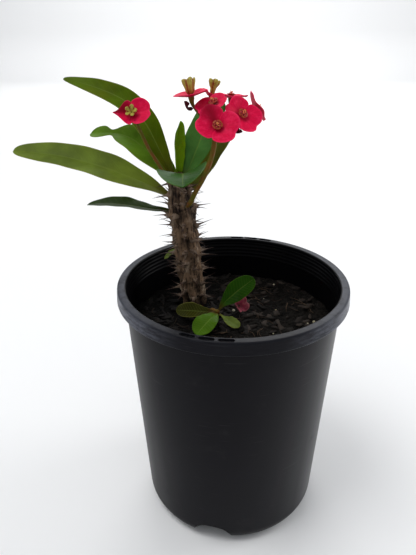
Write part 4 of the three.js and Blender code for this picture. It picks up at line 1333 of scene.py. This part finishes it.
def open_cup(bm, bloom):
    """An open cup: five glands that almost meet round its rim, fringed lobes, and a few stamens."""
    outer = [(0, 0.8), (1.5, 0.9), (2.1, 1.7), (2.9, 2.3), (3.3, 2.8)]
    inner = [(2.7, 2.9), (1.9, 2.2), (0.8, 1.9), (0, 1.9)]
    turned(bm, outer + inner, 24)
    paint(bm, "tone", bm.verts, 1.0)
    rng = random.Random(bloom["reach"] * 10)
    for k in range(GLANDS):
        turn = Matrix.Rotation(k * TURN / GLANDS + 0.3 + rng.uniform(-0.08, 0.08), 4, "Z")
        tilt = Matrix.Rotation(math.radians(rng.uniform(0, 26)), 4, "Y")
        broad = rng.uniform(1.85, 2.15)
        gland = bmesh.ops.create_uvsphere(bm, u_segments=16, v_segments=9, radius=1)["verts"]
        paint(bm, "tone", gland, lambda vert: 0.75 * max(0.0, 0.25 - vert.co.x) + 0.35 * max(0.0, -vert.co.z))
        place = turn @ Matrix.Translation((3.1, 0, 3.0)) @ tilt
        for vert in gland:
            x, y, z = vert.co
            dent, lip = 0.5 * hill(y, 0, 0.5), 0.3 * smoothstep(x, 0.1, 0.9)
            out = x * 0.95 - dent * (x > 0) * 0.5 - 0.28 * y * y
            vert.co = place @ Vector((out, y * broad, z * 0.34 + lip - dent * 0.35 * (z > 0)))
        turn = Matrix.Rotation(math.pi / 5, 4, "Z") @ turn
        for step in (-1, 0, 1):
            points = [(1.9, 0.35 * step, 2.3), (2.2, 0.5 * step, 3.3), (1.7, 0.6 * step, 4.2 - 0.3 * abs(step))]
            lobe = tube(bm, points, lambda t, _: 0.34 * (1 - t) + 0.07, 6, 4, 1)
            paint(bm, "tone", lobe, 0.0)
            for vert in lobe:
                vert.co = turn @ vert.co
    for k in range(STAMENS):
        stamen(bm, rng, k)


def tall_cup(bm, bloom):
    """A young cup: a ribbed tulip that opens into five broad upright lobes, with three styles."""
    waist, mouth, top = bloom["cup"]
    outer = [(0, -0.1 / top), (1.4, 0), (waist * 0.9, 0.22), (waist * 1.06, 0.45), (mouth * 0.98, 0.75),
             (mouth, 0.93), (mouth * 0.9, 1)]
    inner = [(mouth * 0.76, 0.86), (mouth * 0.5, 0.66), (1.2, 0.5), (0, 0.48)]
    line = Route([(radius, 1 + top * share, 0) for radius, share in outer + inner])
    rim = len(outer) / (len(outer) + len(inner))
    curl = 0.5 if top < 9 else 0.0

    def place(turn, v):
        radius, z, _ = line.at(v)
        lobe = abs(math.cos(2.5 * turn)) ** 0.55
        rise = smoothstep(z, 1 + top * 0.3, 1 + top * 0.85)
        pleat = 1 - abs(math.cos(2.5 * turn)) ** 3
        outside = 1 - smoothstep(v, rim, rim + 0.15)
        radius *= 1 - smoothstep(radius, 1.2, 2.4) * 0.1 * pleat * mix(0.2, 1.0, outside)
        radius *= 1 + rise * (0.2 * lobe - 0.14) * mix(0.5, 1.0, outside) + rise * lobe * curl * 0.5
        z += rise * (1.1 * (2 * lobe - 1) + 0.35 * math.sin(turn * 2 + top)) - rise * lobe * curl * 2.2
        return Vector((*around(radius, turn), z))

    def stain(vert):
        angle = math.atan2(vert.co.y, vert.co.x)
        groove = 1 - abs(math.cos(2.5 * angle)) ** 0.45
        low = 1 - smoothstep(vert.co.z, 1.0, 1 + top * 0.5)
        streak = 0.3 * abs(math.sin(angle * 10)) ** 4
        return min(1.0, 0.9 * groove * smoothstep(math.hypot(*vert.co.xy), 1.0, 2.6) + 0.4 * low + streak)

    paint(bm, "tone", wrapped(bm, 70, 34, place), stain)
    for k in range(STYLES):
        tip = Vector((*around(1.0, k * TURN / STYLES), 1 + top * 0.78))
        points = [(0, 0, 1 + top * 0.4), (tip.x * 0.5, tip.y * 0.5, tip.z * 0.85), tip]
        paint(bm, "tone", tube(bm, points, lambda t, _: 0.6 - 0.3 * t, 8, 5), 0.4)


def stalk(bm, points, radius, bloom=None):
    """A stretch of stalk, ending square under a bloom if one is given."""
    if bloom:
        aim = Vector(bloom["facing"]).normalized()
        end = Vector(bloom["at"]) - aim
        points = [*points, end - aim * 5, end + aim * 0.95]
    route = Route(points)

    def thickness(t, turn):
        knot = 0.16 * hill(t, 0, 0.06) * radius
        left = (1 - t) * route.length
        top = 1.15 * (1 - smoothstep(left, 0.5, 7.5)) if bloom else 0.0
        return radius * (0.82 if bloom else 0.95) + knot + top + 0.05 * math.sin(3 * turn + t * 20)

    tube(bm, route, thickness, 14, 9 * len(points))


class EUPHORBIA_OT_stalks(bpy.types.Operator):
    """Builds the two flower stalks and the small scales under their forks"""

    bl_idname = "euphorbia.stalks"
    bl_label = "Flower stalks"

    def execute(self, context):
        bm = new_mesh()
        stalk(bm, SINGLE_STALK, 1.6, BLOOMS["single"])
        finish_piece("single_stalk_bar", bm, ["stalk"], "stalk", ["single_stalk"])
        bm = new_mesh()
        stalk(bm, CLUSTER_STALK, 2.1)
        for forks, radius, bloom in BRANCHES:
            stalk(bm, [FORKS[name] for name in forks], radius, BLOOMS[bloom])
        finish_piece("cluster_stalk_bars", bm, ["stalk"], "stalk", ["cluster_stalk"])
        for name, scale in BRACTEOLES.items():
            bm = new_mesh()
            blade(bm, dict(half=4, base=1.2, fold=30, **scale), 8, 12, BRACTEOLE_THICKNESS)
            piece = finish_piece(name + "_blade", bm, ["bract_dark"], "bract_dark", [name], repair=False)
            thicken(piece, BRACTEOLE_THICKNESS * MM)
        return {"FINISHED"}


class EUPHORBIA_OT_blooms(bpy.types.Operator):
    """Builds the eight blooms: their bracts and their cups"""

    bl_idname = "euphorbia.blooms"
    bl_label = "Blooms"

    def execute(self, context):
        for name, bloom in BLOOMS.items():
            build_bracts("bract_pair_" + name, bloom, "bract_red", "bracts_" + name)
            young = "cup" in bloom
            bm = new_mesh("tone")
            (tall_cup if young else open_cup)(bm, bloom)
            place = bloom_matrix(bloom)
            for vert in bm.verts:
                vert.co = place @ vert.co
            slot = "cup_green" if young else "cup_orange"
            piece = finish_piece("flower_cup_" + name, bm, [slot, "stamen"], slot, ["cup_" + name])
            if not young:
                smooth_finer(piece)
        return {"FINISHED"}


class EUPHORBIA_OT_fallen(bpy.types.Operator):
    """Builds the faded bloom that has dropped on the potting mix"""

    bl_idname = "euphorbia.fallen"
    bl_label = "Fallen bloom"

    def execute(self, context):
        build_bracts("fallen_bract_pair", FALLEN, "bract_faded", "fallen_bloom")
        return {"FINISHED"}


# ---------------------------------------------------------------- the stage

CAMERA_AT = (0, -0.42328, 0.44626)
CAMERA_RIGHT = Vector((0.99887, 0.04701, -0.00743))
CAMERA_UP = Vector((-0.01445, 0.44829, 0.89377))
CAMERA_BACK = Vector((0.04534, -0.89265, 0.44846))
# Name, place, target, size across and watts of each soft light.
LIGHTS = (
    ("key", (-0.7, -0.3, 2.0), (0, 0, 0.2), 1.1, 17),
    ("right_side", (1.7, 0.5, 0.9), (0, 0, 0.2), 1.0, 12),
    ("left_side", (-1.7, 0.6, 0.8), (0, 0, 0.2), 0.9, 2),
    ("backdrop", (0, 3.0, 2.3), (0, 3.2, 0), 2.6, 62),
)
FLOOR_HALF_WIDTH, FLOOR_FRONT, FLOOR_BACK, WALL_HEIGHT = 6000, -4000, 3500, 3500


def put(name, data, matrix):
    """Places a lamp or a camera."""
    made = bpy.data.objects.new(name, data)
    made.matrix_world = matrix
    bpy.context.scene.collection.objects.link(made)
    return made


class EUPHORBIA_OT_stage(bpy.types.Operator):
    """Sets the pale floor, the soft lights and the camera"""

    bl_idname = "euphorbia.stage"
    bl_label = "Stage"

    def execute(self, context):
        scene = bpy.context.scene
        bm = new_mesh()
        for vert, u, v in grid(bm, 24, 24):
            y = mix(FLOOR_FRONT, FLOOR_BACK + WALL_HEIGHT, v)
            vert.co = (u * FLOOR_HALF_WIDTH, min(y, FLOOR_BACK), max(0, y - FLOOR_BACK))
        floor = finish_piece("floor", bm, ["floor_paint"], repair=False)
        for name, place, target, size, watts in LIGHTS:
            light = bpy.data.lights.new(name, "AREA")
            light.shape, light.size, light.energy = "DISK", size, watts
            aim = (Vector(target) - Vector(place)).to_track_quat("-Z", "Y").to_matrix().to_4x4()
            put(name, light, Matrix.Translation(place) @ aim)
        scene.view_settings.view_transform = "Standard"
        scene.world = bpy.data.worlds.new("sky")
        scene.world.use_nodes = True
        sky = scene.world.node_tree.nodes["Background"].inputs
        sky["Color"].default_value = (0.93, 0.96, 1.0, 1)
        sky["Strength"].default_value = settings("stage").light
        camera = bpy.data.cameras.new("camera")
        camera.lens, camera.sensor_width = 35.25, 36
        camera.clip_start, camera.clip_end = 0.01, 50
        turn = Matrix((CAMERA_RIGHT, CAMERA_UP, CAMERA_BACK)).transposed().to_4x4()
        scene.camera = put("camera", camera, Matrix.Translation(CAMERA_AT) @ turn)
        return {"FINISHED"}


# ---------------------------------------------------------------- the add-on

OPERATORS = [
    EUPHORBIA_OT_pot,
    EUPHORBIA_OT_soil,
    EUPHORBIA_OT_stem,
    EUPHORBIA_OT_leaves,
    EUPHORBIA_OT_shoot,
    EUPHORBIA_OT_stalks,
    EUPHORBIA_OT_blooms,
    EUPHORBIA_OT_fallen,
    EUPHORBIA_OT_stage,
]
GROUPS = {
    "pot": PotSettings,
    "soil": SoilSettings,
    "stem": StemSettings,
    "leaf": LeafSettings,
    "bloom": BloomSettings,
    "stage": StageSettings,
}


class EUPHORBIA_PT_build(bpy.types.Panel):
    """Lists the pieces and their settings"""

    bl_idname = "EUPHORBIA_PT_build"
    bl_label = "Potted euphorbia"
    bl_space_type = "VIEW_3D"
    bl_region_type = "UI"
    bl_category = "Euphorbia"

    def draw(self, context):
        for operator in OPERATORS:
            self.layout.operator(operator.bl_idname)
        for name in GROUPS:
            box = self.layout.box()
            group = settings(name)
            for prop in group.bl_rna.properties:
                if not prop.is_readonly and prop.identifier != "name":
                    box.prop(group, prop.identifier)


def register():
    for made in [*GROUPS.values(), *OPERATORS, EUPHORBIA_PT_build]:
        bpy.utils.register_class(made)
    for name, made in GROUPS.items():
        setattr(bpy.types.Scene, "euphorbia_" + name, PointerProperty(type=made))


def unregister():
    for name in GROUPS:
        delattr(bpy.types.Scene, "euphorbia_" + name)
    for made in [EUPHORBIA_PT_build, *OPERATORS, *GROUPS.values()]:
        bpy.utils.unregister_class(made)


def main():
    register()
    for operator in OPERATORS:
        family, name = operator.bl_idname.split(".")
        getattr(getattr(bpy.ops, family), name)()


if __name__ == "__main__":
    main()
